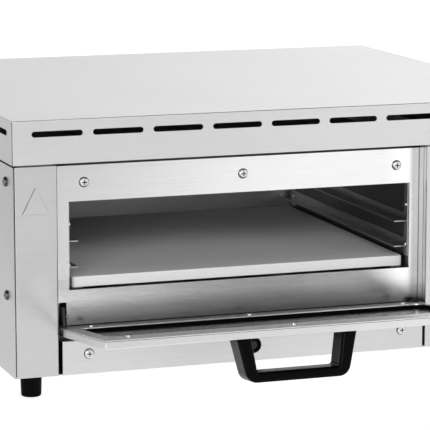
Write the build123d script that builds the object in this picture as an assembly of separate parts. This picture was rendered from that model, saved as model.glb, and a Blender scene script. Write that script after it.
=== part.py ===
from build123d import *
import math
import os

# Countertop pizza oven with a drop-down door, modelled with the door open.
# Millimetres. While it is modelled, x = 0 is the middle of the casing, y = 0 is the front of the
# casing with +y into the oven, and z = 0 is the counter. The last step moves y so that the origin
# stands on the counter under the middle of the casing.

# ---- driving dimensions: casing ----
WIDTH = 568.0
DEPTH = 520.0
BODY_HEIGHT = 246.5
FOOT_HEIGHT = 23.0
SHEET = 1.0
LID_HEIGHT = 42.0
PILLAR_WIDTH = 43.0
CONTROL_WIDTH = 144.5
RECESS = 20.0
SKIRT_HEIGHT = 33.0
SKIRT_GAP_LEFT = 4.1
SKIRT_GAP_RIGHT = 3.0
SEAM = 1.8
CORNER_GAP = 0.9
TUCK = 9.0
FRAME_GAP_TOP = 5.4
FIT_GAP = 0.1
LAP = 12.0
FLANGE = 40.0
BEND = 0.9
PAN_RIM = 14.0
REAR_SCREW_INSET = 60.0

# ---- vent slots ----
SLOT_LENGTH = 50.0
SLOT_HEIGHT = 5.6
SLOT_GAP = 10.0
SLOT_MARGIN = 19.0
SLOT_DROP = 13.2
REAR_SLOT_DROP = 40.0
REAR_SLOT_ROW = 14.0
PAN_SLOT_ROW = 24.0

# ---- pressed triangle on the left corner ----
TRIANGLE_X = 22.4
TRIANGLE_APEX_DROP = 62.3
TRIANGLE_BASE_DROP = 90.0
TRIANGLE_HALF = 14.6
GROOVE_WIDTH = 1.1
GROOVE_DEPTH = 0.3

# ---- baking chamber ----
FRAME_SHEET = 1.2
MARGIN_LEFT = 16.9
MARGIN_RIGHT = 9.9
OPENING_DROP = 82.1
OPENING_HEIGHT = 86.2
CHAMBER_DEPTH = 331.0
HEADROOM = 12.0
FOOTROOM = 18.0
STONE_THICK = 10.0
STONE_SETBACK = 12.0
STONE_GAP_LEFT = 6.7
STONE_GAP_RIGHT = 2.2
STONE_GAP_BACK = 2.0
STONE_LIFT = 0.4
LEDGE_WIDTH = 16.0
LEDGE_DROP = 10.0
RAIL_WIDTH = 12.0
RAIL_SHEET = 1.2
RAIL_RIM = 8.0
UPRIGHT_HALF = 4.0
RAIL_RISES = (46.3, 20.8)
RACK_SCREW_RISES = (63.3, 22.8)
BLANKET = 25.0
TOP_BLANKET = 30.0
BACK_BLANKET = 40.0
BOTTOM_BLANKET = 20.0
HEATER_R = 3.5
HEATER_PITCH = 80.0
HEATER_INSET = 40.0
HEATER_TAIL = 20.0
BUSH_WALL = 4.0
BUSH_LENGTH = 8.0

# ---- door ----
DOOR_THICK = 8.0
DOOR_GAP_LEFT = 3.0
DOOR_GAP_RIGHT = 3.0
DOOR_GAP_TOP = 3.7
DOOR_TILT = 7.3
HINGE_Y = 13.0
HINGE_LIFT = 8.1
HINGE_TO_INNER = 3.0
HINGE_TO_END = 4.0
POCKET_CORNER = 9.0
REFLECTOR_DROP = 4.7
WINDOW_LOW = 28.0
SEAL_WIDTH = 5.0
DOOR_SCREW_LOW = 17.0
DOOR_SCREW_HIGH = 25.0
PIN_R = 3.0
RUNNING_FIT = 0.05
KNUCKLE_R = 5.4
ARM_WIDTH = 7.0
ARM_LENGTH = 22.0
LEVER_REACH = 22.0
LEVER_HALF = 4.0
LEVER_THICK = 2.5
SPRING_PIN_REACH = 13.0
SPRING_PIN_R = 1.5
WIRE_R = 0.6
COIL_R = 3.0
COIL_PITCH = 3.0
COIL_TURNS = 20
COIL_START = 60.0
ANCHOR_Y = 150.0
HANDLE_WIDTH = 119.0
HANDLE_TAPER = 9.5
HANDLE_DEPTH = 26.0
HANDLE_REACH = 42.0
HANDLE_BAR = 12.5
HANDLE_GRIP = 10.0
HANDLE_SETBACK = 6.0
HANDLE_CORNER = 12.0

# ---- feet, buffer and screws ----
FOOT_R = 10.8
FOOT_TIP_R = 9.8
FOOT_INSET_X = 22.0
FOOT_INSET_Y = 24.0
FOOT_BORE_CLEAR = 0.6
BASE_SCREW_OFFSETS = (-15.5, 10.0)
BASE_SCREW_INSET_Y = 10.0
BUFFER_R = 8.0
BUFFER_LENGTH = 7.0
BUFFER_SEAT = 3.0
BUFFER_OFFSET = -45.0
BUFFER_DROP = 229.9
HEAD_R = 4.5
HEAD_H = 2.6
SHANK_R = 2.0
SHANK_LENGTH = 8.0
SMALL_HEAD_R = 3.3
SMALL_HEAD_H = 1.8
SMALL_SHANK_R = 1.5
HANDLE_HEAD_H = 1.4
HANDLE_SHANK_LENGTH = 13.0
FRAME_SCREW_DROP = 63.9
FRAME_SCREW_INSET = 32.5
FRAME_SCREW_INSET_RIGHT = 24.5
SKIRT_SCREW_DROP = 227.0
SKIRT_SCREW_INSET_LEFT = 26.2
SKIRT_SCREW_INSET_RIGHT = 22.9
SIDE_SCREW_Y = 25.5
SIDE_SCREW_DROPS = (60.3, 169.8)

# ---- controls ----
KNOB_PITCH = 58.0
KNOB_TOP_DROP = 84.0
KNOB_R = 19.0
KNOB_GRIP_R = 14.5
KNOB_DEPTH = 18.0
KNOB_STANDOFF = 1.5
SPINDLE_R = 3.0
SPINDLE_REACH_IN = 22.0
SPINDLE_REACH_OUT = 13.0
LAMP_R = 4.5
LAMP_OFFSET = 48.0
LAMP_PITCH = 28.0
LAMP_WALL = 0.9
LAMP_BEZEL = 1.8
LAMP_BEZEL_THICK = 1.5
LAMP_LENGTH = 24.0
LENS_REACH = 4.5
KNOB_SKIRT = 6.0
KNOB_BAR_HALF = 5.5
CONTROL_BODIES = ((44.0, 34.0), (50.0, 42.0), (40.0, 46.0))
CAPILLARY_R = 1.0
BULB_R = 3.0
BULB_LENGTH = 42.0
LOOM_R = 4.0
LOOM_BEND = 28.0
TERMINAL_LEFT = 34.0
TERMINAL_RIGHT = 16.0
TERMINAL_BACK = 62.0
TERMINAL_DEEP = 20.0
TERMINAL_TOP = 38.0
TERMINAL_PITCH = 15.0
WIRE_HOLE_R = 3.5
SHIELD_GAP = 6.0
GLAND_X = 200.0
GLAND_HEIGHT = 60.0
GLAND_R = 9.0
GLAND_REACH = 20.0
GLAND_NUT = 5.0
CORD_R = 4.2

# ---- places that follow from the sizes above ----
LEFT, RIGHT = -WIDTH / 2, WIDTH / 2
BASE_Z = FOOT_HEIGHT
TOP_Z = FOOT_HEIGHT + BODY_HEIGHT
LID_BOTTOM = TOP_Z - LID_HEIGHT
WALL_TOP = LID_BOTTOM - SEAM
RECESS_LEFT = LEFT + PILLAR_WIDTH
RECESS_RIGHT = RIGHT - CONTROL_WIDTH
SKIRT_TOP = BASE_Z + SKIRT_HEIGHT
SKIRT_LEFT = RECESS_LEFT + SKIRT_GAP_LEFT
SKIRT_RIGHT = RECESS_RIGHT - SKIRT_GAP_RIGHT
OPEN_LEFT = RECESS_LEFT + MARGIN_LEFT
OPEN_RIGHT = RECESS_RIGHT - MARGIN_RIGHT
OPEN_TOP = TOP_Z - OPENING_DROP
OPEN_BOTTOM = OPEN_TOP - OPENING_HEIGHT
FRAME_BACK = RECESS + FRAME_SHEET
CHAMBER_BACK = FRAME_BACK + CHAMBER_DEPTH
CEILING_Z = OPEN_TOP + HEADROOM
FLOOR_Z = OPEN_BOTTOM - FOOTROOM
STONE_TOP = OPEN_BOTTOM + STONE_LIFT + STONE_THICK
HINGE_Z = SKIRT_TOP + HINGE_LIFT
DOOR_LEFT = RECESS_LEFT + DOOR_GAP_LEFT
DOOR_RIGHT = RECESS_RIGHT - DOOR_GAP_RIGHT
DOOR_MID = (DOOR_LEFT + DOOR_RIGHT) / 2
DOOR_BACK = HINGE_Y + HINGE_TO_INNER
DOOR_FRONT = DOOR_BACK - DOOR_THICK
DOOR_BOTTOM = HINGE_Z - HINGE_TO_END
DOOR_TOP = LID_BOTTOM - DOOR_GAP_TOP
OPEN_ANGLE = 90.0 - DOOR_TILT
LEVER_X = DOOR_LEFT + ARM_WIDTH - LEVER_THICK
SPRING_X = DOOR_LEFT + ARM_WIDTH + 1.8
CONTROL_X = (RECESS_RIGHT + RIGHT) / 2
KNOB_Z = [TOP_Z - KNOB_TOP_DROP - KNOB_PITCH * i for i in range(3)]
SHIELD_X = OPEN_RIGHT + SHEET + BLANKET + SHIELD_GAP
FRAME_SCREW_X = [
    RECESS_LEFT + FRAME_SCREW_INSET,
    (OPEN_LEFT + OPEN_RIGHT) / 2,
    RECESS_RIGHT - FRAME_SCREW_INSET_RIGHT,
]
SKIRT_SCREW_X = [SKIRT_LEFT + SKIRT_SCREW_INSET_LEFT, SKIRT_RIGHT - SKIRT_SCREW_INSET_RIGHT]
BUFFER_X = BUFFER_OFFSET
REAR_SCREW_X = [LEFT + REAR_SCREW_INSET, 0.0, RIGHT - REAR_SCREW_INSET]
FOOT_SPOTS = [
    (x, y)
    for x in (LEFT + FOOT_INSET_X, RIGHT - FOOT_INSET_X)
    for y in (FOOT_INSET_Y, DEPTH - FOOT_INSET_Y)
]


# ---- plain shapes ----
def block(x0, x1, y0, y1, z0, z1):
    """A box between two corners."""
    centre = Pos((x0 + x1) / 2, (y0 + y1) / 2, (z0 + z1) / 2)
    return centre * Box(x1 - x0, y1 - y0, z1 - z0)


def rod_x(x0, x1, y, z, r):
    """A round bar along x."""
    return Pos((x0 + x1) / 2, y, z) * Rot(0, 90, 0) * Cylinder(r, x1 - x0)


def rod_y(x, y0, y1, z, r):
    """A round bar along y."""
    return Pos(x, (y0 + y1) / 2, z) * Rot(90, 0, 0) * Cylinder(r, y1 - y0)


def rod_z(x, y, z0, z1, r):
    """A round bar along z."""
    return Pos(x, y, (z0 + z1) / 2) * Cylinder(r, z1 - z0)


def slot_y(x, y, z, length, height, depth=6.0):
    """A round-ended slot cutter along x, cut through in y."""
    return Pos(x, y, z) * Rot(90, 0, 0) * extrude(SlotOverall(length, height), depth / 2, both=True)


def slot_x(x, y, z, length, height, depth=6.0):
    """A round-ended slot cutter along y, cut through in x."""
    plane = Plane(origin=(x, y, z), x_dir=(0, 1, 0), z_dir=(1, 0, 0))
    return plane * extrude(SlotOverall(length, height), depth / 2, both=True)


def cross_screw(head_r, head_h, shank_r, shank_l):
    """A pan-head screw with a cross recess. The head stands on z = 0 and the shank goes down."""
    head = fillet(Cylinder(head_r, head_h).edges().group_by(Axis.Z)[-1], head_h * 0.55)
    head = Pos(0, 0, head_h / 2) * head
    arm, wing = head_r * 1.1, head_r * 0.22
    cross = Box(arm, wing, head_h) + Box(wing, arm, head_h)
    head -= Pos(0, 0, head_h) * cross
    return head + Pos(0, 0, -shank_l / 2) * Cylinder(shank_r, shank_l)


def facing_front(x, y, z):
    """Turns a screw so that its head faces the front, seated at y."""
    return Pos(x, y, z) * Rot(90, 0, 0)


def facing_back(x, y, z):
    """Turns a screw so that its head faces the back, seated at y."""
    return Pos(x, y, z) * Rot(-90, 0, 0)


def facing_side(x, y, z, side):
    """Turns a screw so that its head faces left for side -1 and right for side 1."""
    return Pos(x, y, z) * Rot(0, 90 * side, 0)


def swung(shape):
    """Turns a door piece from its shut place to its open place."""
    return shape.rotate(Axis((0, HINGE_Y, HINGE_Z), (1, 0, 0)), OPEN_ANGLE)


def tube(points, radii, r):
    """A round tube along straight runs joined by arcs."""
    path = FilletPolyline(*points, radius=radii)
    start = Plane(origin=points[0], z_dir=Vector(*points[1]) - Vector(*points[0]))
    return sweep(start * Circle(r), path=path)


# ---- casing ----
def top_cover():
    """The lid: a shallow tray turned over, with vent slots all round its rim."""
    lid = block(LEFT, RIGHT, 0, DEPTH, LID_BOTTOM, TOP_Z)
    lid = fillet(lid.edges().filter_by(Axis.Z) + lid.edges().group_by(Axis.Z)[-1], BEND)
    lid -= block(
        LEFT + SHEET, RIGHT - SHEET, SHEET, DEPTH - SHEET, LID_BOTTOM - 1, TOP_Z - SHEET
    )
    z, pitch = TOP_Z - SLOT_DROP, SLOT_LENGTH + SLOT_GAP
    cutters = []
    for i in range(int((WIDTH - 2 * SLOT_MARGIN + SLOT_GAP) // pitch)):
        x = LEFT + SLOT_MARGIN + SLOT_LENGTH / 2 + pitch * i
        cutters += [slot_y(x, y, z, SLOT_LENGTH, SLOT_HEIGHT) for y in (0, DEPTH)]
    for i in range(int((DEPTH - 2 * SLOT_MARGIN + SLOT_GAP) // pitch)):
        y = SLOT_MARGIN + SLOT_LENGTH / 2 + pitch * i
        cutters += [slot_x(x, y, z, SLOT_LENGTH, SLOT_HEIGHT) for x in (LEFT, RIGHT)]
    for x in REAR_SCREW_X:
        cutters.append(rod_y(x, DEPTH - 3, DEPTH + 3, LID_BOTTOM + LAP / 2, SHANK_R))
    return lid - cutters


def side_panel(side):
    """A side wall whose top edge folds in under the lid. side is -1 left, 1 right."""
    outer = RIGHT * side
    inner = outer - SHEET * side
    tuck = outer - TUCK * side
    y1 = DEPTH - SHEET - SEAM / 2
    panel = block(*sorted((outer, inner)), 0, y1, BASE_Z, WALL_TOP)
    panel += block(*sorted((outer, tuck)), TUCK + 1, y1 - 3, WALL_TOP - SHEET, WALL_TOP)
    tab = sorted((tuck, tuck + SHEET * side))
    panel += block(*tab, TUCK + 1, y1 - 3, WALL_TOP - SHEET, LID_BOTTOM + LAP)
    for drop in SIDE_SCREW_DROPS:
        for y in (SIDE_SCREW_Y, DEPTH - SIDE_SCREW_Y):
            panel -= rod_x(outer - 5, outer + 5, y, TOP_Z - drop, SHANK_R)
    return panel


def front_corner(x_recess, side):
    """The folded sheet beside the recess: front face, side flange, return wall, foot and top tab."""
    x_side = (RIGHT - SHEET - CORNER_GAP) * side
    low = BASE_Z + SHEET + FIT_GAP
    front = block(*sorted((x_side, x_recess)), 0, SHEET, BASE_Z, WALL_TOP)
    corner = front.edges().filter_by(Axis.Z).group_by(Axis.Y)[0]
    front = fillet(corner, BEND * 0.9)
    lap = sorted((x_side, x_side - SHEET * side))
    flange = block(*lap, SHEET / 2, FLANGE, BASE_Z, WALL_TOP - SHEET - FIT_GAP)
    wall = block(*sorted((x_recess, x_recess + SHEET * side)), SHEET / 2, RECESS, low, WALL_TOP)
    feet_x = sorted((x_recess, x_recess + LAP * side))
    foot_fold = block(*feet_x, RECESS - SHEET, RECESS, BASE_Z + 3, WALL_TOP)
    tab_x = sorted((x_side - 4 * side, x_recess + 2 * side))
    fold = block(*tab_x, 0.1, TUCK, WALL_TOP - SHEET, WALL_TOP)
    tab = block(*tab_x, TUCK - SHEET, TUCK, WALL_TOP - SHEET, LID_BOTTOM + LAP)
    whole = front + flange + wall + foot_fold + fold + tab
    for drop in SIDE_SCREW_DROPS:
        whole -= rod_x(x_side - 3, x_side + 3, SIDE_SCREW_Y, TOP_Z - drop, SHANK_R)
    return whole - rod_x(x_recess - 3, x_recess + 3, HINGE_Y, HINGE_Z, PIN_R)


def left_pillar():
    """The narrow front corner at the left, with a plain pressed triangle."""
    pillar = front_corner(RECESS_LEFT, -1)
    middle, half = LEFT + TRIANGLE_X, TRIANGLE_HALF
    apex, base = TOP_Z - TRIANGLE_APEX_DROP, TOP_Z - TRIANGLE_BASE_DROP
    outline = Polyline((middle - half, base), (middle + half, base), (middle, apex), close=True)
    face = make_face(outline)
    ring = face - offset(face, -GROOVE_WIDTH)
    groove = Plane.XZ * extrude(ring, GROOVE_DEPTH, both=True)
    return pillar - groove


def control_panel():
    """The wide front corner at the right, which carries the controls."""
    panel = front_corner(RECESS_RIGHT, 1)
    for z in KNOB_Z:
        panel -= rod_y(CONTROL_X, -3, 3, z, SPINDLE_R + 1.5)
    for i in range(2):
        panel -= rod_y(CONTROL_X + LAMP_OFFSET, -3, 3, KNOB_Z[0] - LAMP_PITCH * i, LAMP_R)
    return panel


def rear_panel():
    """The back wall, with vents, a hole for the cable gland and a stepped top edge."""
    x0, x1 = LEFT + SHEET + FIT_GAP, RIGHT - SHEET - FIT_GAP
    y0, y1 = DEPTH - SHEET, DEPTH
    panel = block(LEFT, RIGHT, y0, y1, BASE_Z, WALL_TOP)
    for a in (x0, x1 - SHEET):
        panel += block(a, a + SHEET, DEPTH - FLANGE, y1, BASE_Z, WALL_TOP - SHEET - FIT_GAP)
    lap = y0 - FIT_GAP
    panel += block(x0 + 4, x1 - 4, lap - SHEET, y1, WALL_TOP - SHEET, WALL_TOP)
    panel += block(x0 + 4, x1 - 4, lap - SHEET, lap, WALL_TOP - SHEET, LID_BOTTOM + LAP)
    for row in range(3):
        for i in range(4):
            x = (i - 1.5) * (SLOT_LENGTH + SLOT_GAP)
            z = WALL_TOP - REAR_SLOT_DROP - REAR_SLOT_ROW * row
            panel -= slot_y(x, DEPTH, z, SLOT_LENGTH, SLOT_HEIGHT)
    for drop in SIDE_SCREW_DROPS:
        y = DEPTH - SIDE_SCREW_Y
        panel -= rod_x(LEFT - 1, RIGHT + 1, y, TOP_Z - drop, SHANK_R)
    for x in REAR_SCREW_X:
        panel -= rod_y(x, DEPTH - 6, DEPTH + 3, LID_BOTTOM + LAP / 2, SHANK_R)
    return panel - rod_y(GLAND_X, DEPTH - 5, DEPTH + 5, GLAND_HEIGHT, GLAND_R - 1)


def base_pan():
    """The floor of the casing, a tray with its rim turned up inside the walls."""
    x1 = RIGHT - 2 * SHEET - CORNER_GAP - FIT_GAP
    x0 = -x1
    y0, y1 = SHEET + FIT_GAP, DEPTH - SHEET - FIT_GAP
    rim = PAN_RIM
    pan = block(x0, x1, y0, y1, BASE_Z, BASE_Z + SHEET)
    pan += block(x0, x0 + SHEET, y0 + FLANGE, y1 - FLANGE, BASE_Z, BASE_Z + rim)
    pan += block(x1 - SHEET, x1, y0 + FLANGE, y1 - FLANGE, BASE_Z, BASE_Z + rim)
    pan += block(x0 + FLANGE, x1 - FLANGE, y1 - SHEET, y1, BASE_Z, BASE_Z + rim)
    front_rim = SKIRT_HEIGHT - SHEET - 4.0
    pan += block(SKIRT_LEFT, SKIRT_RIGHT, y0, y0 + SHEET, BASE_Z, BASE_Z + front_rim)
    for x, y in FOOT_SPOTS:
        pan -= rod_z(x, y, BASE_Z - 3, BASE_Z + 3, SHANK_R)
    for x, y in base_screw_spots():
        pan -= rod_z(x, y, BASE_Z - 3, BASE_Z + 3, SMALL_SHANK_R)
    for x in SKIRT_SCREW_X:
        pan -= rod_y(x, 0, 5, TOP_Z - SKIRT_SCREW_DROP, SHANK_R)
    pan -= rod_y(BUFFER_X, 0, 5, TOP_Z - BUFFER_DROP, SHANK_R)
    for row in range(5):
        for i in range(5):
            x = (i - 2) * (SLOT_LENGTH + SLOT_GAP)
            slot = Pos(x, DEPTH / 2 + PAN_SLOT_ROW * (row - 2), BASE_Z) * extrude(
                SlotOverall(SLOT_LENGTH, SLOT_HEIGHT), 3, both=True
            )
            pan -= slot
    return pan


def bottom_skirt():
    """The low front apron under the door, folded back at its top."""
    skirt = block(SKIRT_LEFT, SKIRT_RIGHT, 0, SHEET, BASE_Z, SKIRT_TOP)
    skirt += block(SKIRT_LEFT, SKIRT_RIGHT, 0, RECESS - FIT_GAP, SKIRT_TOP - SHEET, SKIRT_TOP)
    bend = skirt.edges().filter_by(Axis.X).group_by(Axis.Z)[-1].group_by(Axis.Y)[0]
    skirt = fillet(bend, BEND * 0.9)
    for x in SKIRT_SCREW_X:
        skirt -= rod_y(x, -3, 3, TOP_Z - SKIRT_SCREW_DROP, SHANK_R)
    return skirt - rod_y(BUFFER_X, -3, 3, TOP_Z - BUFFER_DROP, SHANK_R)


def skirt_buffer():
    """The round rubber buffer on the apron, with a sunk screw seat."""
    z = TOP_Z - BUFFER_DROP
    knob = rod_y(BUFFER_X, -BUFFER_LENGTH, 0, z, BUFFER_R)
    knob = fillet(knob.edges().group_by(Axis.Y)[0], 2.0)
    knob -= rod_y(BUFFER_X, -BUFFER_LENGTH - 1, -BUFFER_SEAT, z, HEAD_R + 0.3)
    return knob - rod_y(BUFFER_X, -4, 1, z, SHANK_R)


def foot(x, y):
    """One tapered rubber foot with a sunk screw hole from below."""
    body = Pos(x, y, FOOT_HEIGHT / 2) * Cone(FOOT_TIP_R, FOOT_R, FOOT_HEIGHT)
    body = fillet(body.edges().group_by(Axis.Z)[0], 1.6)
    body -= rod_z(x, y, -1, FOOT_HEIGHT / 2, HEAD_R + FOOT_BORE_CLEAR)
    return body - rod_z(x, y, 0, FOOT_HEIGHT + 1, SHANK_R)


def feet():
    """The four feet."""
    return Compound([foot(x, y) for x, y in FOOT_SPOTS])


def foot_screws():
    """The screws that hold the feet, heads down inside them."""
    screws = []
    for x, y in FOOT_SPOTS:
        screw = cross_screw(HEAD_R, HEAD_H, SHANK_R, FOOT_HEIGHT / 2 + SHANK_LENGTH)
        screws.append(Pos(x, y, FOOT_HEIGHT / 2) * Rot(180, 0, 0) * screw)
    return Compound(screws)


def base_screw_spots():
    """The places of the small screws beside the feet."""
    return [
        (side * (RIGHT - FOOT_INSET_X + dx), y)
        for side in (-1, 1)
        for dx in BASE_SCREW_OFFSETS
        for y in (BASE_SCREW_INSET_Y, DEPTH - BASE_SCREW_INSET_Y)
    ]


def casing_screws():
    """The pan-head screws of the side walls, lid and base."""
    screws = []
    for side in (-1, 1):
        for drop in SIDE_SCREW_DROPS:
            for y in (SIDE_SCREW_Y, DEPTH - SIDE_SCREW_Y):
                screw = cross_screw(HEAD_R, HEAD_H, SHANK_R, SHANK_LENGTH)
                screws.append(facing_side(RIGHT * side, y, TOP_Z - drop, side) * screw)
    for x in REAR_SCREW_X:
        screw = cross_screw(HEAD_R, HEAD_H, SHANK_R, SHANK_LENGTH)
        screws.append(facing_back(x, DEPTH, LID_BOTTOM + LAP / 2) * screw)
    for x, y in base_screw_spots():
        screw = cross_screw(SMALL_HEAD_R, SMALL_HEAD_H, SMALL_SHANK_R, SHANK_LENGTH / 2)
        screws.append(Pos(x, y, BASE_Z) * Rot(180, 0, 0) * screw)
    return Compound(screws)


def front_screws():
    """The pan-head screws of the front frame and the apron."""
    screw = cross_screw(HEAD_R, HEAD_H, SHANK_R, SHANK_LENGTH)
    z_frame, z_skirt = TOP_Z - FRAME_SCREW_DROP, TOP_Z - SKIRT_SCREW_DROP
    screws = [facing_front(x, RECESS, z_frame) * screw for x in FRAME_SCREW_X]
    screws += [facing_front(x, 0, z_skirt) * screw for x in SKIRT_SCREW_X]
    return Compound(screws)


def buffer_screw():
    """The blackened screw in the middle of the rubber buffer."""
    screw = cross_screw(HEAD_R, HEAD_H, SHANK_R, SHANK_LENGTH)
    return facing_front(BUFFER_X, -BUFFER_SEAT, TOP_Z - BUFFER_DROP) * screw


# ---- front frame and baking chamber ----
def front_frame():
    """The recessed plate round the opening, with a slot for the hinge lever."""
    frame = block(
        RECESS_LEFT - LAP,
        RECESS_RIGHT + LAP,
        RECESS,
        FRAME_BACK,
        BASE_Z + 3,
        LID_BOTTOM - FRAME_GAP_TOP,
    )
    frame -= block(OPEN_LEFT, OPEN_RIGHT, RECESS - 1, FRAME_BACK + 1, OPEN_BOTTOM, OPEN_TOP)
    slot = block(
        LEVER_X - 1,
        SPRING_X + 2.2,
        RECESS - 1,
        FRAME_BACK + 1,
        HINGE_Z - LEVER_HALF - 1.2,
        HINGE_Z + LEVER_REACH + 3.5,
    )
    frame -= fillet(slot.edges().filter_by(Axis.Y), 1.0)
    for x in FRAME_SCREW_X:
        frame -= rod_y(x, RECESS - 1, FRAME_BACK + 1, TOP_Z - FRAME_SCREW_DROP, SHANK_R)
    return frame


def chamber_side(side):
    """A side wall of the chamber, with a flange behind the front frame."""
    inner = OPEN_LEFT if side < 0 else OPEN_RIGHT
    x0, x1 = sorted((inner, inner + SHEET * side))
    wall = block(x0, x1, FRAME_BACK, CHAMBER_BACK, FLOOR_Z, CEILING_Z)
    reach = inner + (MARGIN_LEFT - 6 if side < 0 else MARGIN_RIGHT) * side
    flange_z0 = max(FLOOR_Z, HINGE_Z + LEVER_REACH + 8)
    wall += block(
        *sorted((inner, reach)), FRAME_BACK, FRAME_BACK + SHEET, flange_z0, CEILING_Z
    )
    for rise in RACK_SCREW_RISES:
        for y in rack_screw_places():
            wall -= rod_x(inner - 4, inner + 4, y, OPEN_BOTTOM + rise, SMALL_SHANK_R)
    if side > 0:
        wall -= rod_x(inner - 4, inner + 4, bulb_y(), bulb_z(), HEATER_R)
    return wall


def chamber_back_wall():
    """The back wall of the chamber, with holes for the heater ends."""
    wall = block(
        OPEN_LEFT - SHEET,
        OPEN_RIGHT + SHEET,
        CHAMBER_BACK,
        CHAMBER_BACK + SHEET,
        FLOOR_Z,
        CEILING_Z,
    )
    for x, z in heater_ends():
        wall -= rod_y(x, CHAMBER_BACK - 2, CHAMBER_BACK + 3, z, HEATER_R + FIT_GAP)
    return wall


def chamber_ceiling():
    """The top sheet of the chamber, turned up at the front for the frame's screws."""
    sheet = block(
        OPEN_LEFT - SHEET,
        OPEN_RIGHT + SHEET,
        FRAME_BACK,
        CHAMBER_BACK + SHEET,
        CEILING_Z,
        CEILING_Z + SHEET,
    )
    sheet += block(
        RECESS_LEFT,
        RECESS_RIGHT,
        FRAME_BACK,
        FRAME_BACK + SHEET,
        CEILING_Z,
        LID_BOTTOM - 8,
    )
    for x in FRAME_SCREW_X:
        sheet -= rod_y(x, RECESS - 1, FRAME_BACK + 3, TOP_Z - FRAME_SCREW_DROP, SHANK_R)
    return sheet


def chamber_floor():
    """The bottom sheet of the chamber, turned down at the front."""
    sheet = block(
        OPEN_LEFT - SHEET,
        OPEN_RIGHT + SHEET,
        FRAME_BACK,
        CHAMBER_BACK + SHEET,
        FLOOR_Z - SHEET,
        FLOOR_Z,
    )
    sheet += block(
        OPEN_LEFT,
        OPEN_RIGHT,
        FRAME_BACK,
        FRAME_BACK + SHEET,
        FLOOR_Z - LAP,
        FLOOR_Z,
    )
    return sheet


def baking_stone():
    """The square fireclay slab that the pizza bakes on."""
    stone = block(
        OPEN_LEFT + STONE_GAP_LEFT,
        OPEN_RIGHT - STONE_GAP_RIGHT,
        RECESS + STONE_SETBACK,
        CHAMBER_BACK - STONE_GAP_BACK,
        STONE_TOP - STONE_THICK,
        STONE_TOP,
    )
    corners = stone.edges().filter_by(Axis.Z)
    stone = fillet(corners, 3.0)
    return fillet(stone.edges().group_by(Axis.Z)[-1], 1.0)


def stone_ledges():
    """Two angle strips that carry the stone."""
    strips = []
    y0, y1 = RECESS + STONE_SETBACK - 4, CHAMBER_BACK - 1
    z = STONE_TOP - STONE_THICK
    for x, side in ((OPEN_LEFT, 1), (OPEN_RIGHT, -1)):
        strip = block(*sorted((x, x + LEDGE_WIDTH * side)), y0, y1, z - RAIL_SHEET, z)
        strip += block(*sorted((x, x + RAIL_SHEET * side)), y0, y1, z - LEDGE_DROP, z)
        strips.append(strip)
    return Compound(strips)


def rack_screw_places():
    """The places along y of the screws that hold the tray racks."""
    return (FRAME_BACK + 5, CHAMBER_BACK - 12)


def tray_rack(side):
    """A side rack of two ledges on two uprights, which carries a tray."""
    x = OPEN_LEFT if side < 0 else OPEN_RIGHT
    inward = -side
    face = x + RAIL_SHEET * inward
    z0, z1 = STONE_TOP + 1, OPEN_TOP + 2
    rack = None
    for y in rack_screw_places():
        upright = block(*sorted((x, face)), y - UPRIGHT_HALF, y + UPRIGHT_HALF, z0, z1)
        rack = upright if rack is None else rack + upright
    y0, y1 = rack_screw_places()[0] + UPRIGHT_HALF, rack_screw_places()[1] - UPRIGHT_HALF
    for rise in RAIL_RISES:
        z = OPEN_BOTTOM + rise
        rack += block(*sorted((x, x + RAIL_WIDTH * inward)), y0, y1, z - RAIL_SHEET, z)
        rack += block(*sorted((x, face)), y0, y1, z - RAIL_SHEET, z + RAIL_RIM)
    for rise in RACK_SCREW_RISES:
        for y in rack_screw_places():
            rack -= rod_x(x - 4, x + 4, y, OPEN_BOTTOM + rise, SMALL_SHANK_R)
    return rack


def rack_screws():
    """The round-head screws of both tray racks."""
    screws = []
    for side in (-1, 1):
        x = (OPEN_LEFT if side < 0 else OPEN_RIGHT) - RAIL_SHEET * side
        for rise in RACK_SCREW_RISES:
            for y in rack_screw_places():
                screw = cross_screw(SMALL_HEAD_R - 0.3, SMALL_HEAD_H, SMALL_SHANK_R, 5.0)
                screws.append(facing_side(x, y, OPEN_BOTTOM + rise, -side) * screw)
    return Compound(screws)


# ---- heaters and insulation ----
def heater_ends():
    """The x and z places of the heater ends, upper pair first."""
    middle = (OPEN_LEFT + OPEN_RIGHT) / 2
    reach = HEATER_PITCH * 1.5
    return [(middle + s * reach, z) for z in (upper_heater_z(), lower_heater_z()) for s in (-1, 1)]


def upper_heater_z():
    """The height of the upper heater's axis."""
    return CEILING_Z - HEATER_R - 2.5


def lower_heater_z():
    """The height of the lower heater's axis."""
    return (FLOOR_Z + STONE_TOP - STONE_THICK) / 2


def heater(z):
    """A tubular heater in four legs, whose ends leave through the back wall."""
    middle = (OPEN_LEFT + OPEN_RIGHT) / 2
    legs = [middle + HEATER_PITCH * (i - 1.5) for i in range(4)]
    near, far = FRAME_BACK + HEATER_INSET, CHAMBER_BACK - HEATER_INSET
    end = CHAMBER_BACK + BACK_BLANKET + HEATER_TAIL
    points = [
        (legs[0], end, z),
        (legs[0], near, z),
        (legs[1], near, z),
        (legs[1], far, z),
        (legs[2], far, z),
        (legs[2], near, z),
        (legs[3], near, z),
        (legs[3], end, z),
    ]
    return tube(points, HEATER_PITCH / 2 * 0.9, HEATER_R)


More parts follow.
